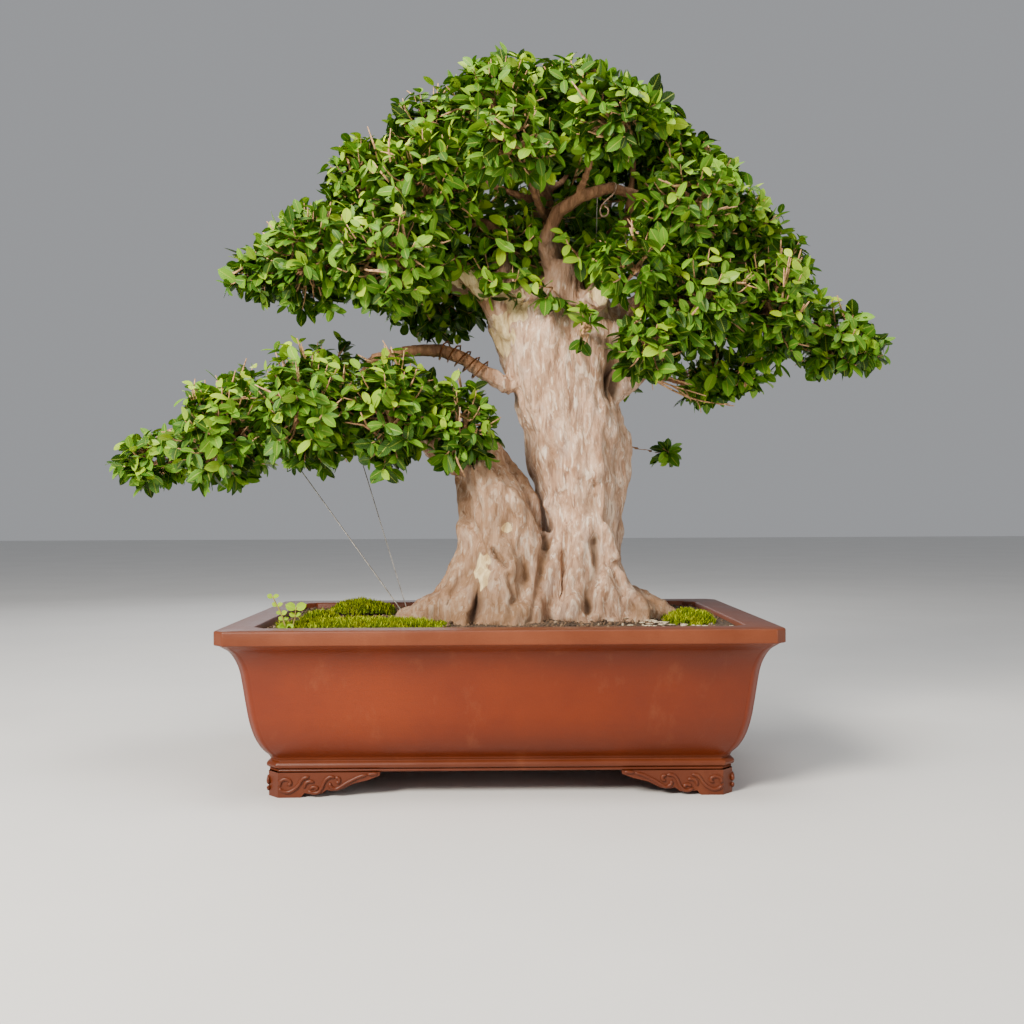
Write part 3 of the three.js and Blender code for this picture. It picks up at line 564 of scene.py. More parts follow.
def leaf_form():
    """One flat leaf of length one: how far along and across each point lies, half width, faces."""
    rows = len(LEAF_OUTLINE)
    places, shares = np.repeat(LEAF_OUTLINE, 3, axis=0).T
    along = np.array([0, *places, 1])
    across = np.array([0.0, *(-1, 0, 1) * rows, 0.0])
    half = 0.5 * LEAF_SLIMNESS * np.array([0, *shares, 0])
    faces = [(0, 2, 1), (0, 3, 2)]
    for row in range(rows - 1):
        a = 1 + 3 * row
        faces += [(a, a + 1, a + 4, a + 3), (a + 1, a + 2, a + 5, a + 4)]
    a, tip = 1 + 3 * (rows - 1), len(along) - 1
    faces += [(a, a + 1, tip), (a + 1, a + 2, tip)]
    return along, across, half, faces


LEAF_FORM = leaf_form()


def add_leaves(gathered, roots, along, face, length, curl, tone, width=1.0):
    """Adds many leaves, each with its root, its direction and the way that it faces."""
    t, side, half, leaf_faces = LEAF_FORM
    half = half * width
    along = unit(along)
    face = unit(face - along * np.sum(face * along, axis=1, keepdims=True))
    right = np.cross(along, face)
    lift = LEAF_FOLD * np.abs(side) * half - curl[:, None] * t**2
    reach = t - 0.4 * curl[:, None] * t**3
    shape = (
        reach[:, :, None] * along[:, None, :]
        + (side * half)[None, :, None] * right[:, None, :]
        + lift[:, :, None] * face[:, None, :]
    )
    points = roots[:, None, :] + length[:, None, None] * shape
    count = len(t)
    faces = [tuple(i + leaf * count for i in corner) for leaf in range(len(roots)) for corner in leaf_faces]
    gathered.add(
        points.reshape(-1, 3),
        faces,
        across=np.tile(side, len(roots)),
        along=np.tile(t, len(roots)),
        tone=np.repeat(tone, count),
    )


def even_directions(count, random):
    """Directions spread evenly on all sides."""
    k = np.arange(count) + 0.5
    polar = np.arccos(1 - 2 * k / count)
    turn = math.pi * (1 + math.sqrt(5)) * k + random.uniform(0, math.tau)
    return np.stack([np.sin(polar) * np.cos(turn), np.sin(polar) * np.sin(turn), np.cos(polar)], axis=1)


def head_places():
    """Middle and half sizes of every head of foliage, from the frame."""
    places = {}
    for node in sorted(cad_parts):
        if node.startswith("foliage_"):
            low, high = np.array(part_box(node))
            places[node] = ((low + high) / 2, np.maximum((high - low) / 2 - SHOOT_MARGIN, 6 * MM))
    return places


def inside_outline(tips):
    """Shoot tips moved up or down so that their leaves keep to the outline seen from the front."""
    distance, level = -CAMERA_PLACE[1], CAMERA_PLACE[2]
    scale = distance / (distance + tips[:, 1])
    x, z = tips[:, 0] * scale / MM, (level + (tips[:, 2] - level) * scale) / MM
    high = np.interp(x, *zip(*CANOPY_TOP), left=2000) - OUTLINE_MARGIN
    low = np.interp(x, *zip(*CANOPY_UNDERSIDE), left=0) + OUTLINE_MARGIN
    low[z < low - TWIG_DROP] = 0
    fitted = tips.copy()
    fitted[:, 2] = level + (np.clip(z, low, high) * MM - level) / scale
    return fitted


def shoots_of(node, places, random):
    """Starts and tips of a head's shoots, without those that other heads hide."""
    middle, half = places[node]
    radius = float(np.prod(half)) ** (1 / 3)
    count = max(4, int(4 * math.pi * radius**2 / SHOOT_SPACING**2))
    directions = unit(even_directions(count, random) + random.normal(0, 0.12, (count, 3)))
    tips = inside_outline(middle + half * directions * random.uniform(*SHOOT_END, (count, 1)))
    shown = np.ones(count, bool)
    for other, (other_middle, other_half) in places.items():
        if other != node:
            depths = np.linalg.norm((tips - other_middle) / other_half, axis=1)
            shown &= depths > HIDDEN_DEPTH
    directions, tips = directions[shown], tips[shown]
    starts = middle + half * directions * random.uniform(*SHOOT_START, (len(tips), 1))
    starts[:, 2] -= 0.12 * half[2]
    return starts, tips


def stem_points(starts, tips, share):
    """Points on rising, slightly bowed stems, at one share of their length."""
    bow = 0.14 * np.linalg.norm(tips - starts, axis=-1, keepdims=True) * share * (1 - share) * 4
    return starts + (tips - starts) * share - bow * UP


def leafy_shoots(gathered, starts, tips, middle, random):
    """Leaves in pairs along each shoot, each pair turned from the one before, facing up and out."""
    stem = unit(tips - starts)
    outward = unit(tips - middle)
    level = unit(np.cross(stem, UP) + 1e-6)
    upright = np.cross(level, stem)
    count = len(starts)
    for number, share in enumerate(PAIRS):
        roots = stem_points(starts, tips, share)
        turn = (number % 2) * 1.25 + random.normal(0, 0.45, (count, 1))
        axis = np.cos(turn) * level + np.sin(turn) * upright
        for side in (-1, 1):
            along = 0.55 * stem + side * 0.9 * axis - 0.22 * UP + random.normal(0, 0.3, (count, 3))
            face = 0.7 * UP + 0.55 * outward + random.normal(0, 0.42, (count, 3))
            # Lighter tone towards the shoot's tip and on the upper side of the head
            tip_and_top_lightening = 0.2 * number / len(PAIRS) + 0.14 * outward[:, 2]
            length = LEAF_LENGTH * random.uniform(0.7, 1.15, count) * (0.75 if share == 1.0 else 1.0)
            tone = np.clip(random.normal(0.35, 0.21, count) + tip_and_top_lightening, 0.04, 1)
            add_leaves(gathered, roots, along, face, length, random.uniform(0.02, 0.24, count), tone)


def inner_leaves(gathered, middle, half, random):
    """Dark leaves inside a head: older leaves, with their dark tone also standing as painted shade of the
    head's interior.
    """
    radius = float(np.prod(half)) ** (1 / 3)
    count = int(4 / 3 * math.pi * (0.75 * radius) ** 3 / INNER_LEAF_SPACING**3)
    directions = unit(random.normal(0, 1, (count, 3)))
    roots = middle + half * directions * random.uniform(*INNER_LEAVES, (count, 1))
    along = directions + random.normal(0, 0.7, (count, 3))
    face = UP + random.normal(0, 0.6, (count, 3))
    length = 1.15 * LEAF_LENGTH * random.uniform(0.85, 1.1, count)
    curl = random.uniform(0, 0.2, count)
    # Dark tones: old leaves, and painted shade of the head's interior
    tone = random.uniform(0, 0.16, count)
    add_leaves(gathered, roots, along, face, length, curl, tone)


def head_twigs(gathered, starts, tips, middle, half, random):
    """A head's branchlets: forks from its middle, and a stem from a fork to each shoot."""
    forks = middle + 0.36 * half * even_directions(max(4, len(tips) // 6), random)
    heart = middle - 0.3 * half * UP
    for fork in forks:
        bend = (heart + fork) / 2 + random.normal(0, 2.5 * MM, 3)
        gathered.rod([heart, bend, fork], (3.2, 2.5, 1.8), 5)
    for start, tip in zip(starts, tips):
        fork = forks[np.argmin(np.linalg.norm(forks - start, axis=1))]
        path = [fork, start] + [stem_points(start, tip, s) for s in (0.35, 0.7, 0.98)]
        gathered.rod(path, (1.7, 1.35, 1.15, 0.95, 0.6), 4)


def surface_twigs(gathered, middle, half, random):
    """Branchlets that run just under a head's leaves and show between them."""
    count = int(2 + np.prod(half) ** (2 / 3) / TWIG_SPACING**2)
    inner = unit(random.normal(0, 1, (count, 3)))
    outer = unit(inner + random.normal(0, 0.3, (count, 3)) + 0.25 * UP)
    starts = middle + half * inner * TWIG_START
    tips = inside_outline(middle + half * outer * random.uniform(*TWIG_END, (count, 1)))
    for start, tip in zip(starts, tips):
        bend = (start + tip) / 2 + random.normal(0, 3 * MM, 3)
        gathered.rod([start, bend, tip], (1.9, 1.5, 0.9), 5)
        fork = tip + unit(tip - start + random.normal(0, 8 * MM, 3)) * random.uniform(8, 16) * MM
        gathered.rod([bend, (bend + fork) / 2, fork], (1.3, 1.1, 0.7), 4)


def limb_sprays(leaf, twigs):
    """Short leafy shoots on the bare limbs and at the top of the trunk."""
    random = np.random.default_rng(77)
    leaves = Gathered()
    for x, y, z, reach, count in SPRAYS:
        middle = np.array([x, y, z]) * MM
        directions = unit(random.normal(0, 1, (count, 3)) + np.array([0, -0.7, 0.25]))
        starts = middle + directions * 6 * MM
        tips = middle + directions * reach * random.uniform(0.7, 1.1, (count, 1)) * MM
        leafy_shoots(leaves, starts, tips, middle, random)
        for start, tip in zip(starts, tips):
            path = [middle] + [stem_points(start, tip, s) for s in (0.2, 0.6, 0.98)]
            twigs.rod(path, (1.5, 1.2, 0.9, 0.6), 4)
    leaves.piece("leaves_sprays", leaf, "leaf")


def low_twigs(twig):
    """Bare forked twigs under the right side."""
    random = np.random.default_rng(5)
    bare = Gathered()
    for start, end in BARE_TWIGS:
        bend = (np.array(start) + end) / 2 + random.normal(0, 6, 3)
        line = bare.smooth_rod([start, bend, end], 6, 1.7, 0.7, 5)
        for share in (0.4, 0.62, 0.8):
            root = line[int(share * (len(line) - 1))]
            away = unit(np.array(end, float) - start) + random.normal(0, 0.6, 3)
            tip = root + random.uniform(14, 32) * MM * unit(away)
            bend = (root + tip) / 2 + random.normal(0, MM, 3)
            bare.rod([root, bend, tip], (1.0, 0.8, 0.5), 4)
    bare.piece("bare_twigs", twig, "bark")


def foliage():
    """Every head's leaves and twigs, the sprays and the bare low twigs."""
    leaf = leaf_finish()
    twig = plain_finish("twig", (0.27, 0.125, 0.05), (0.74, 0.45, 0.22), 260, 0.7, 0.3 * MM, detail=3)
    places = head_places()
    twigs = Gathered()
    limb_sprays(leaf, twigs)
    for number, (node, (middle, half)) in enumerate(places.items()):
        random = np.random.default_rng(100 + number)
        leaves = Gathered()
        starts, tips = shoots_of(node, places, random)
        leafy_shoots(leaves, starts, tips, middle, random)
        inner_leaves(leaves, middle, half, random)
        head_twigs(twigs, starts, tips, middle, half, random)
        surface_twigs(twigs, middle, half, random)
        piece = leaves.piece("leaves_" + node.removeprefix("foliage_"), leaf, "leaf")
        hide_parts(node)
    twigs.piece("fine_twigs", twig, "bark")
    low_twigs(twig)


# Wood


def line_distance(points, line):
    """Distance of each point from a broken line."""
    line = np.asarray(line, float)
    best = np.full(len(points), np.inf)
    for a, b in zip(line[:-1], line[1:]):
        share = np.clip((points - a) @ (b - a) / ((b - a) @ (b - a)), 0, 1)[:, None]
        best = np.minimum(best, np.linalg.norm(points - a - share * (b - a), axis=1))
    return best


def relaxed(points, edges, rounds):
    """Smooths a mesh without shrinking its limbs: each step inward is followed by one outward."""
    degree = np.bincount(edges.ravel(), minlength=len(points))[:, None]
    for turn in range(2 * rounds):
        total = np.zeros_like(points)
        for k in range(3):
            total[:, k] = np.bincount(edges[:, 0], points[edges[:, 1], k], len(points))
            total[:, k] += np.bincount(edges[:, 1], points[edges[:, 0], k], len(points))
        points = points + (0.6 if turn % 2 == 0 else -0.62) * (total / degree - points)
    return points


def rows_of(items, key, width, kind=float):
    """One value of every vertex or edge of a mesh, as rows."""
    values = np.empty(len(items) * width, kind)
    items.foreach_get(key, values)
    return values.reshape(-1, width)


def noise_at(points, size, seed):
    """Smooth noise from -1 to 1 at each point, with features of the given sizes."""
    shifted = points / np.asarray(size) + seed
    return np.array([noise.noise(Vector(p)) for p in shifted])


def search_tree(mesh):
    """A tree that finds where a ray meets a mesh."""
    return BVHTree.FromPolygons([v.co for v in mesh.vertices], [tuple(f.vertices) for f in mesh.polygons])


def ridged_wood():
    """The CAD wood with the trunks' ridges, torn tops and seam, not yet joined."""
    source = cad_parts["tree_wood"].data
    tree = search_tree(source)
    added = Gathered()
    for first, last, depth, line in BARK_RIDGES:
        seen = smooth_path(line, 6)
        radii = np.linspace(first, last, len(seen))
        path = []
        for (x, z), radius in zip(seen, radii):
            hit = tree.ray_cast(Vector((x * MM, -0.5, z * MM)), Vector((0, 1, 0)))[0]
            if hit is not None:
                path.append((x * MM, hit.y + depth * radius * MM, z * MM))
        radii = radii[-len(path):] * MM
        radii[0] *= 0.4
        added.add(*tube(path, radii, 10))
    for first, last, steps, line in ADDED_WOOD:
        added.smooth_rod(line, steps, first, last, 10)
    extra = bpy.data.meshes.new("ridges")
    extra.from_pydata([tuple(p) for p in np.concatenate(added.points)], [], added.faces)
    return joined("ridged", source, extra)


def remeshed(source):
    """One even skin round a mesh of overlapping closed forms."""
    rough = placed("rough", source)
    remesh = rough.modifiers.new("remesh", "REMESH")
    remesh.mode = "VOXEL"
    remesh.voxel_size = WOOD_VOXEL
    evaluated = rough.evaluated_get(bpy.context.evaluated_depsgraph_get())
    mesh = bpy.data.meshes.new_from_object(evaluated)
    bpy.data.objects.remove(rough)
    return mesh


def bark_relief(points, normals):
    """How far the bark stands out at each point, its pale, slender and browner parts, and painted shade in
    hollows and creases.
    """
    mm = points / MM
    front = np.clip(-1.6 * normals[:, 1], 0, 1)
    seen = mm[:, [0, 2]]
    thick = np.zeros(len(mm))
    for axis, radius in TRUNK_AXES:
        inward = radius + TRUNK_MARGIN - line_distance(mm, axis)
        thick = np.maximum(thick, np.clip(inward / TRUNK_FADE, 0, 1))
    root = np.clip((250 - mm[:, 2]) / 40, 0, 1)
    thick = np.maximum(thick, 0.8 * root)
    relief = thick * sum(height * noise_at(mm, size, seed) for height, size, seed in BARK_LUMPS)
    relief += (0.35 + 0.65 * thick) * 1.5 * noise_at(mm, (5.5, 5.5, 14), 2.2)
    painted_hollow_shade = np.zeros(len(mm))
    for x, z, wide, high, depth in BARK_DENTS:
        spot = front * np.exp(-(((seen[:, 0] - x) / wide) ** 2) - ((seen[:, 1] - z) / high) ** 2)
        relief -= depth * spot
        # Painted shade inside deep dents
        if depth > DARK_DEPTH:
            painted_hollow_shade = np.maximum(painted_hollow_shade, np.clip(1.9 * spot - 0.55, 0, 1))
    for wide, depth, line in BARK_GROOVES:
        spot = front * np.exp(-((line_distance(seen, line) / wide) ** 2))
        relief -= depth * spot
        # Painted shade inside deep grooves
        if depth > DARK_DEPTH:
            painted_hollow_shade = np.maximum(painted_hollow_shade, np.clip(2.3 * spot - 1.3, 0, 0.5))
    pale = np.zeros(len(mm))
    ragged = 0.7 * noise_at(mm, (6, 6, 11), 6.6)
    for x, z, wide, high in PALE_PATCHES:
        away = np.hypot((seen[:, 0] - x) / wide, (seen[:, 1] - z) / high)
        pale = np.maximum(pale, front * np.clip(1.5 * (1.3 + ragged - away), 0, 1))
    slender = np.clip(1.15 - 1.6 * thick, 0, 1)
    # Painted shade where the bark dips in
    crease_shade_and_brown_bark = thick * np.clip((-relief - 1.2) / 9, 0, 0.6)
    # Browner bark on the leaning trunk and the right root, kept with the painted shade of the creases
    leaning = np.clip((52 - mm[:, 0]) / 16, 0, 1) * np.clip((440 - mm[:, 2]) / 40, 0, 1)
    far_root = np.clip((mm[:, 0] - 150) / 20, 0, 1) * root
    brown = 0.5 + 0.5 * noise_at(mm, (24, 24, 60), 4.8)
    crease_shade_and_brown_bark = np.maximum(crease_shade_and_brown_bark, (0.22 + 0.45 * brown) * np.maximum(leaning, far_root))
    return relief * MM, {"painted_hollow_shade": painted_hollow_shade, "pale": pale, "slender": slender, "crease_shade_and_brown_bark": crease_shade_and_brown_bark}


def wood():
    """The trunks, roots and limbs with their bark."""
    mesh = remeshed(ridged_wood())
    points = rows_of(mesh.vertices, "co", 3)
    edges = rows_of(mesh.edges, "vertices", 2, np.int64)
    points = relaxed(points, edges, 10)
    mesh.vertices.foreach_set("co", points.ravel())
    mesh.update()
    normals = rows_of(mesh.vertex_normals, "vector", 3)
    relief, values = bark_relief(points, normals)
    points = points + normals * relief[:, None]
    faces = [tuple(face.vertices) for face in mesh.polygons]
    piece = add_piece("wood", points, faces, bark_finish(), values)
    bpy.data.meshes.remove(mesh)
    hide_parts("tree_wood")


# Pot

# Sizes in millimetres, as in the frame
RIM_LENGTH = 640
RIM_WIDTH = 420
FOOT_INSET = 50
FOOT_REACH_LONG = 130
FOOT_REACH_SHORT = 92
BELT_BOTTOM = 29
GROOVE = 1.4
CORNER_STEP = 1.3
DRAIN_RADIUS = 14
DRAIN_OFFSET = 150
DRAIN_LEVEL = 36


def pot_ring(z, inset, corner, groove):
    """A level ring of the pot: a rectangle with cut corners and a fine groove beside each cut."""
    x, y = RIM_LENGTH / 2 - inset, RIM_WIDTH / 2 - inset
    one = [
        (x, y - corner - GROOVE),
        (x - groove, y - corner),
        (x - CORNER_STEP, y - corner + CORNER_STEP),
        (x - corner + CORNER_STEP, y - CORNER_STEP),
        (x - corner, y - groove),
        (x - corner - GROOVE, y),
    ]
    flipped = [(-px, py) for px, py in reversed(one)]
    ring = one + flipped + [(-px, -py) for px, py in one] + [(-px, -py) for px, py in flipped]
    return [(px * MM, py * MM, z * MM) for px, py in ring]


def pot_rows():
    """Rings of the pot from the foot of the belt, up the outside, over the rim and down the inside."""
    belt = [(29, 53), (29.6, 51.4), (31, 50.8), (32.6, 51.4), (33, 52.2), (33.5, 50), (35, 48.4)]
    belt += [(37.5, 47.9), (39.6, 48.6), (41, 50.4), (41.6, 52), (42.6, 52.2)]
    body = [(44.5, 51.2), (47, 50), (56, 43), (70, 36.5), (89, 31.5), (112, 28), (135, 25)]
    body += [(150, 22.5), (162, 18.5), (171, 13.5), (176, 8)]
    rows = [(z, inset, 13, 0) for z, inset in belt]
    rows += [(z, inset, 12.4, 1.8) for z, inset in smooth_path(body, 4)]
    rim = [(178.4, 5.6), (179.6, 4.2), (180, 2), (180.3, 0.7), (181.2, 0), (195, 0)]
    rim += [(196.2, 0.5), (197, 1.6)]
    rows += [(z, inset, 12, 0) for z, inset in rim]
    inside = [(197, 34.5, 15), (196.6, 36, 16), (195, 37, 16), (180, 38, 16), (120, 42, 17), (80, 50, 18)]
    inside += [(56, 60, 20), (43, 72, 20)]
    rows += [(z, inset, corner, 0) for z, inset, corner in inside]
    return rows


def pot_vessel():
    """The pot without its feet, with its two drainage holes."""
    rings = [pot_ring(*row) for row in pot_rows()]
    walls, ends = ring_faces(len(rings), len(rings[0]))
    mesh = bpy.data.meshes.new("vessel")
    mesh.from_pydata([point for ring in rings for point in ring], [], ends + walls)
    vessel = placed("vessel", mesh)
    drills = []
    for x in (-DRAIN_OFFSET, DRAIN_OFFSET):
        middle = (x * MM, 0, DRAIN_LEVEL * MM)
        bpy.ops.mesh.primitive_cylinder_add(
            vertices=40, radius=DRAIN_RADIUS * MM, depth=40 * MM, location=middle
        )
        drills.append(bpy.context.object)
        cut = vessel.modifiers.new("drain", "BOOLEAN")
        cut.object = drills[-1]
    whole = bpy.data.meshes.new_from_object(vessel.evaluated_get(bpy.context.evaluated_depsgraph_get()))
    for helper in (vessel, *drills):
        bpy.data.objects.remove(helper)
    return whole


def pot_feet():
    """The CAD pot below its belt."""
    form = bmesh.new()
    form.from_mesh(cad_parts["pot"].data)
    everything = form.verts[:] + form.edges[:] + form.faces[:]
    level = (0, 0, (BELT_BOTTOM - 0.05) * MM)
    cut = bmesh.ops.bisect_plane(form, geom=everything, plane_co=level, plane_no=(0, 0, 1), clear_outer=True)
    edges = [item for item in cut["geom_cut"] if isinstance(item, bmesh.types.BMEdge)]
    bmesh.ops.edgenet_fill(form, edges=edges)
    mesh = bpy.data.meshes.new("feet")
    form.to_mesh(mesh)
    form.free()
    return mesh


# Raised scrolls on one face of a foot, as lines of (distance from the corner, height)
SCROLLS = (
    ((14.5, 11.6), (17.5, 8.2), (24.5, 6.6), (31.6, 9.7), (36.6, 14.5), (39.6, 19.3), (43.6, 22.9),
     (49.6, 24.2)),
    ((16, 13.5), (15.6, 18.4), (20.5, 21.6), (26.1, 20.3), (27.6, 16.6), (24, 14.8)),
    ((43.4, 10.8), (44.6, 16.4), (49.6, 19), (54.8, 17.6)),
    ((50.1, 10), (53.6, 12.4), (58, 11.4), (57, 8.6)),
    ((47.6, 8.2), (53.2, 5.4), (59.2, 6.2), (63, 10.6), (65.2, 15.5), (67.9, 20.3), (72.7, 23.6),
     (78.8, 23.6)),
    ((78.8, 23.6), (83.3, 21.8), (83.2, 18), (79.4, 17.2)),
    ((73, 17.4), (73.8, 12.6), (78.8, 9.8), (84, 11.6), (90.8, 16), (98.9, 20.3), (106.9, 24),
     (115.9, 26.2)),
    ((115.9, 26.2), (122, 27), (128, 27.2)),
)
SCROLL_RADIUS = 2.2


def foot_relief():
    """Raised cloud scrolls on the eight faces of the feet."""
    relief = Gathered()
    long_side = (RIM_LENGTH / 2 - FOOT_INSET, RIM_WIDTH / 2 - FOOT_INSET, 1.0)
    short_side = (long_side[1], long_side[0], FOOT_REACH_SHORT / FOOT_REACH_LONG)
    for quarter, (half, out, stretch) in enumerate((long_side, short_side) * 2):
        c, s = math.cos(quarter * math.pi / 2), math.sin(quarter * math.pi / 2)
        for mirror in (-1, 1):
            for scroll in SCROLLS:
                line = smooth_path(scroll, 5)
                x = mirror * (half - line[:, 0] * stretch)
                y = np.full(len(line), -(out + 0.1))
                turned = np.stack([x * c - y * s, x * s + y * c, line[:, 1]], axis=1)
                ends = np.minimum(1, np.minimum(np.arange(len(line)), np.arange(len(line))[::-1]) / 4 + 0.45)
                relief.rod(turned * MM, SCROLL_RADIUS * ends, 8)
    return relief


def pot():
    """The pot with its feet as one piece, and the scrolls on them."""
    clay = clay_finish()
    mesh = joined("pot", pot_vessel(), pot_feet())
    mesh.shade_smooth()
    mesh.set_sharp_from_angle(angle=math.radians(32))
    mesh.materials.append(clay)
    piece = placed("pot_body", mesh)
    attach(piece, "root")
    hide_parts("pot")
    foot_relief().piece("foot_scrolls", clay, "clay")


# Soil, moss and seedling


def ground_height(x, y):
    """Height of the soil's surface, in metres."""
    mx, my = x / MM, y / MM
    away = np.hypot((mx - 60) / 190, (my + 10) / 120)
    swell = 1.6 * np.sin(mx / 37 + 1) * np.cos(my / 29)
    return SOIL_LEVEL + SOIL_RISE * np.exp(-away * away) + swell * MM


def crumb_form():
    """A small twenty-sided crumb of radius one."""
    form = bmesh.new()
    bmesh.ops.create_icosphere(form, subdivisions=1, radius=1)
    points = np.array([v.co[:] for v in form.verts])
    faces = [tuple(v.index for v in face.verts) for face in form.faces]
    form.free()
    return points, faces


def soil_grains():
    """Loose grains on the soil, and pale flakes at its right end."""
    random = np.random.default_rng(7)
    points, faces = crumb_form()
    grains = Gathered()
    reach_x, reach_y = GRAIN_REACH
    across = random.uniform(-reach_x, reach_x, GRAIN_COUNT)
    deep = random.uniform(-reach_y, reach_y, GRAIN_COUNT)
    sizes = random.uniform(0.9, 2.6, GRAIN_COUNT) * MM
    for x, y, size in zip(across, deep, sizes):
        shape = points * random.uniform(0.6, 1.25, 3) * size
        place = np.array([x, y, ground_height(x, y) + 0.25 * size])
        grains.add(shape + place, faces, tone=random.beta(1.6, 3.2))
    for _ in range(FLAKE_COUNT):
        x, y = random.normal(FLAKE_PLACE, FLAKE_SPREAD)
        flake = points * np.array([3.6, 2.8, 0.8]) * random.uniform(0.6, 1.4, 3) * MM
        place = np.array([x, y, ground_height(x, y) + 2.2 * MM])
        if abs(x) < FLAKE_REACH[0] and abs(y) < FLAKE_REACH[1]:
            grains.add(flake + place, faces, tone=random.uniform(0.85, 1))
    grains.piece("soil_grains", grain_finish(), "soil", smooth=False)


def moss_cushion(node, material, seed):
    """One cushion of moss: fine upright shoots over a soft bed, where the CAD cushion lies."""
    random = np.random.default_rng(seed)
    tree = search_tree(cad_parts[node].data)
    low, high = np.array(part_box(node))
    area = (high[0] - low[0]) * (high[1] - low[1])
    count = int(area / MOSS_SPACING**2)
    places = low + (high - low) * random.uniform(0, 1, (count, 3))
    places[:, 2] = ground_height(places[:, 0], places[:, 1])
    cushion = Gathered()
    bed_points, bed_faces = crumb_form()
    for x, y, z in places:
        hit = tree.ray_cast(Vector((x, y, z + 0.1)), Vector((0, 0, -1)))[0]
        if hit is None or abs(hit.z - z) >= MOSS_REACH:
            continue
        lump = 3.2 * MM * noise.noise(Vector((x, y, 0.0)) / MOSS_LUMP)
        lean = random.normal(0, 0.35, 2)
        tall = random.uniform(2.6, 6.2) * MM
        wide = random.uniform(0.7, 1.3) * MM
        centre = np.array([x, y, hit.z + lump - 1.5 * MM])
        tip = centre + tall * np.array([lean[0], lean[1], 1.0])
        turn = random.uniform(0, math.tau)
        angles = (turn, turn + THIRD_TURN, turn + 2 * THIRD_TURN)
        ring = [centre + wide * np.array([math.cos(angle), math.sin(angle), 0]) for angle in angles]
        tone = float(np.clip(random.normal(0.55, 0.24) + 110 * lump, 0, 1))
        faces = [(0, 1, 3), (1, 2, 3), (2, 0, 3), (0, 2, 1)]
        cushion.add([*ring, tip], faces, tone=[0.3 * tone] * 3 + [tone])
        if random.uniform() < 0.3:
            bed = bed_points * np.array([3.2, 3.2, 1.6]) * MM + centre - np.array([0, 0, 1.2 * MM])
            cushion.add(bed, bed_faces, tone=0.12)
    piece = cushion.piece(node + "_shoots", material, "moss", smooth=False)
    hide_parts(node)


def seedling():
    """A small bright seedling: round leaves in pairs on two stems, and a few at its foot."""
    random = np.random.default_rng(31)
    stems, leaves = Gathered(), Gathered()
    for path, pairs in SEEDLING_SHOOTS:
        line = stems.smooth_rod(path, 8, 1.2, 0.7, 6)
        for share, length in pairs:
            root = line[int(share * (len(line) - 1))]
            for side in (-1, 1):
                seedling_leaf(leaves, root, (side, random.normal(0, 0.2), 0.5), length, random)
    foot = np.array([-252, -133, 193]) * MM
    for turn in range(6):
        along = (math.cos(turn), math.sin(turn) - 0.5, 0.25)
        seedling_leaf(leaves, foot, along, FOOT_LEAF_LENGTH, random)
    leaf_piece = leaves.piece("seedling_leaves", seedling_finish(), "seedling_leaf")
    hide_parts("seedling")
    stem_finish = plain_finish("seedling_stem", (0.22, 0.2, 0.04), (0.4, 0.3, 0.08), 300, 0.5, 0.2 * MM)
    stems.piece("seedling_stems", stem_finish, "seedling_leaf")


def seedling_leaf(leaves, root, along, length, random):
    """One round leaf of the seedling, its face to the front."""
    face = np.array([[0, -1, 0.5]]) + random.normal(0, 0.25, (1, 3))
    tone = np.array([random.uniform(0.3, 1)])
    size = np.array([length * MM])
    add_leaves(leaves, root[None], np.array([along], float), face, size, np.array([0.15]), tone, width=1.5)


# Wires and filling


def dress(node, material):
    """Gives a carried-over CAD node its material."""
    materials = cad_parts[node].data.materials
    materials.clear()
    materials.append(material)


def wires():
    """Metal of the guy wires and of the training wire, and the hook on the front limb."""
    steel = metal_finish("guy_wire", (0.30, 0.27, 0.23), (0.62, 0.58, 0.52), 0.42)
    copper = metal_finish("training_wire", (0.16, 0.07, 0.03), (0.42, 0.21, 0.09), 0.4)
    for node in ("guy_wire_outer", "guy_wire_inner", "guy_wire_crown"):
        dress(node, steel)
    dress("training_wire", copper)
    hook = Gathered()
    hook.smooth_rod(HOOK, 4, HOOK_RADIUS, HOOK_RADIUS, 6)
    hook.piece("hook", metal_finish("hook", (0.34, 0.19, 0.12), (0.80, 0.56, 0.42), 0.45), "guy_wire")


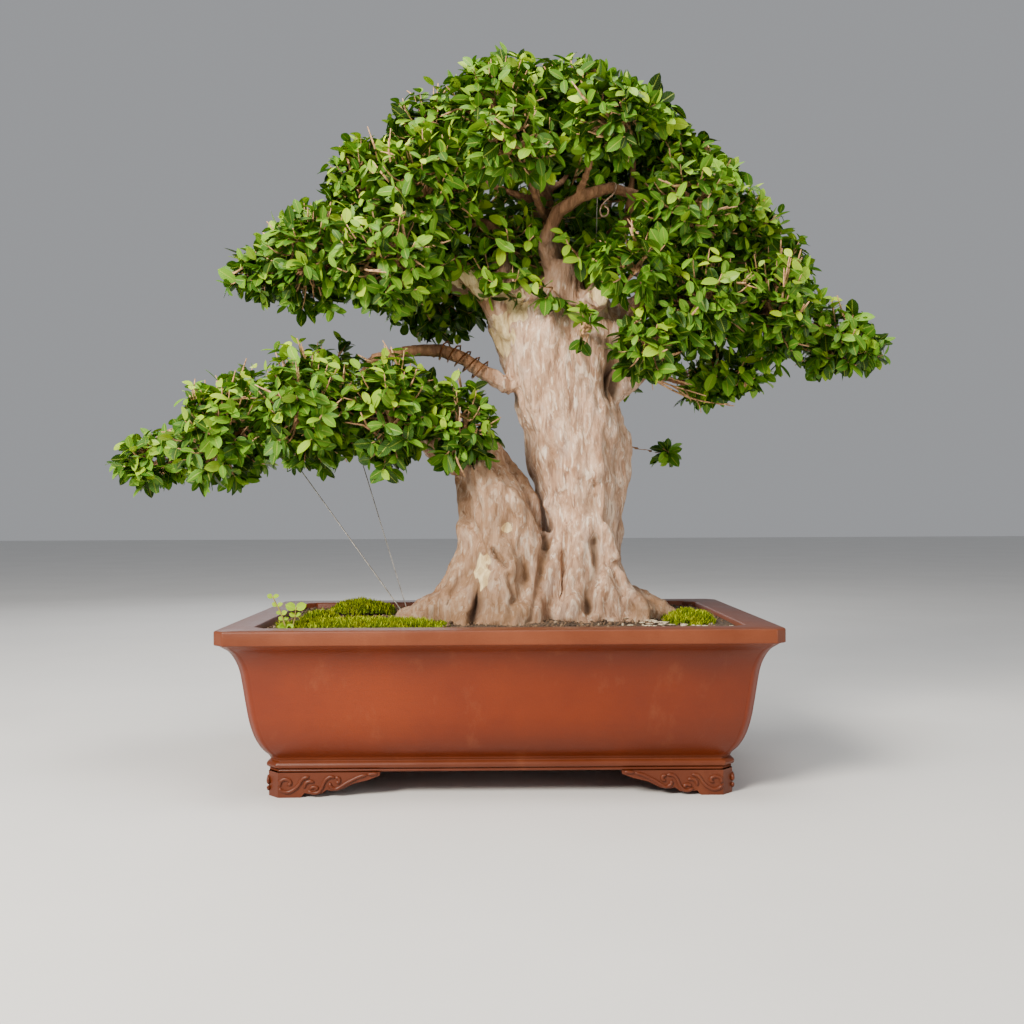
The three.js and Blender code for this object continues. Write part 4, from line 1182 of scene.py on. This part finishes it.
def filling():
    """Finishes of the soil and of what lies under it."""
    mesh_plastic = plain_finish("screen", (0.015, 0.015, 0.015), (0.04, 0.04, 0.04), 400, 0.6, 0.1 * MM)
    stones = plain_finish("grit", (0.12, 0.08, 0.05), (0.42, 0.34, 0.25), 160, 0.9, 3 * MM)
    dress("drainage_screen_left", mesh_plastic)
    dress("drainage_screen_right", mesh_plastic)
    dress("drainage_grit", stones)
    dress("soil", soil_finish())


# Stage


def studio():
    """A pale floor under soft light from the front, above and behind."""
    world = bpy.data.worlds.new("studio")
    bpy.context.scene.world = world
    world.use_nodes = True
    sky = world.node_tree.nodes["Background"].inputs
    sky["Color"].default_value = (0.86, 0.88, 0.92, 1)
    sky["Strength"].default_value = 0.4
    for name, place, size, power, colour in LAMPS:
        lamp = bpy.data.lights.new(name, "AREA")
        lamp.size = size
        lamp.energy = power
        lamp.color = colour
        light = placed(name, lamp)
        light.location = place
        aim = Vector((0, 0, 0.45)) - Vector(place)
        light.rotation_euler = aim.to_track_quat("-Z", "Y").to_euler()
    floor_mesh = bpy.data.meshes.new("floor")
    wide = 12.0
    corners = [(-wide, -wide, 0), (wide, -wide, 0), (wide, wide, 0), (-wide, wide, 0)]
    floor_mesh.from_pydata(corners, [], [(0, 1, 2, 3)])
    pale = plain_finish("floor", (0.66, 0.655, 0.64), (0.70, 0.695, 0.68), 3, 0.7, 0.1 * MM)
    floor_mesh.materials.append(pale)
    floor = placed("floor", floor_mesh)


def camera():
    """The photograph's camera."""
    lens = bpy.data.cameras.new("camera")
    lens.lens = CAMERA_LENS
    lens.sensor_width = 36
    view = placed("camera", lens)
    view.location = CAMERA_PLACE
    view.rotation_euler = (math.radians(90), math.radians(CAMERA_ROLL), math.radians(CAMERA_YAW))
    bpy.context.scene.camera = view


camera()
studio()
pot()
filling()
soil_grains()
moss = moss_finish()
for number, cushion in enumerate(("moss_mound", "moss_front_left", "moss_clump", "moss_right")):
    moss_cushion(cushion, moss, 60 + number)
seedling()
wires()
wood()
foliage()
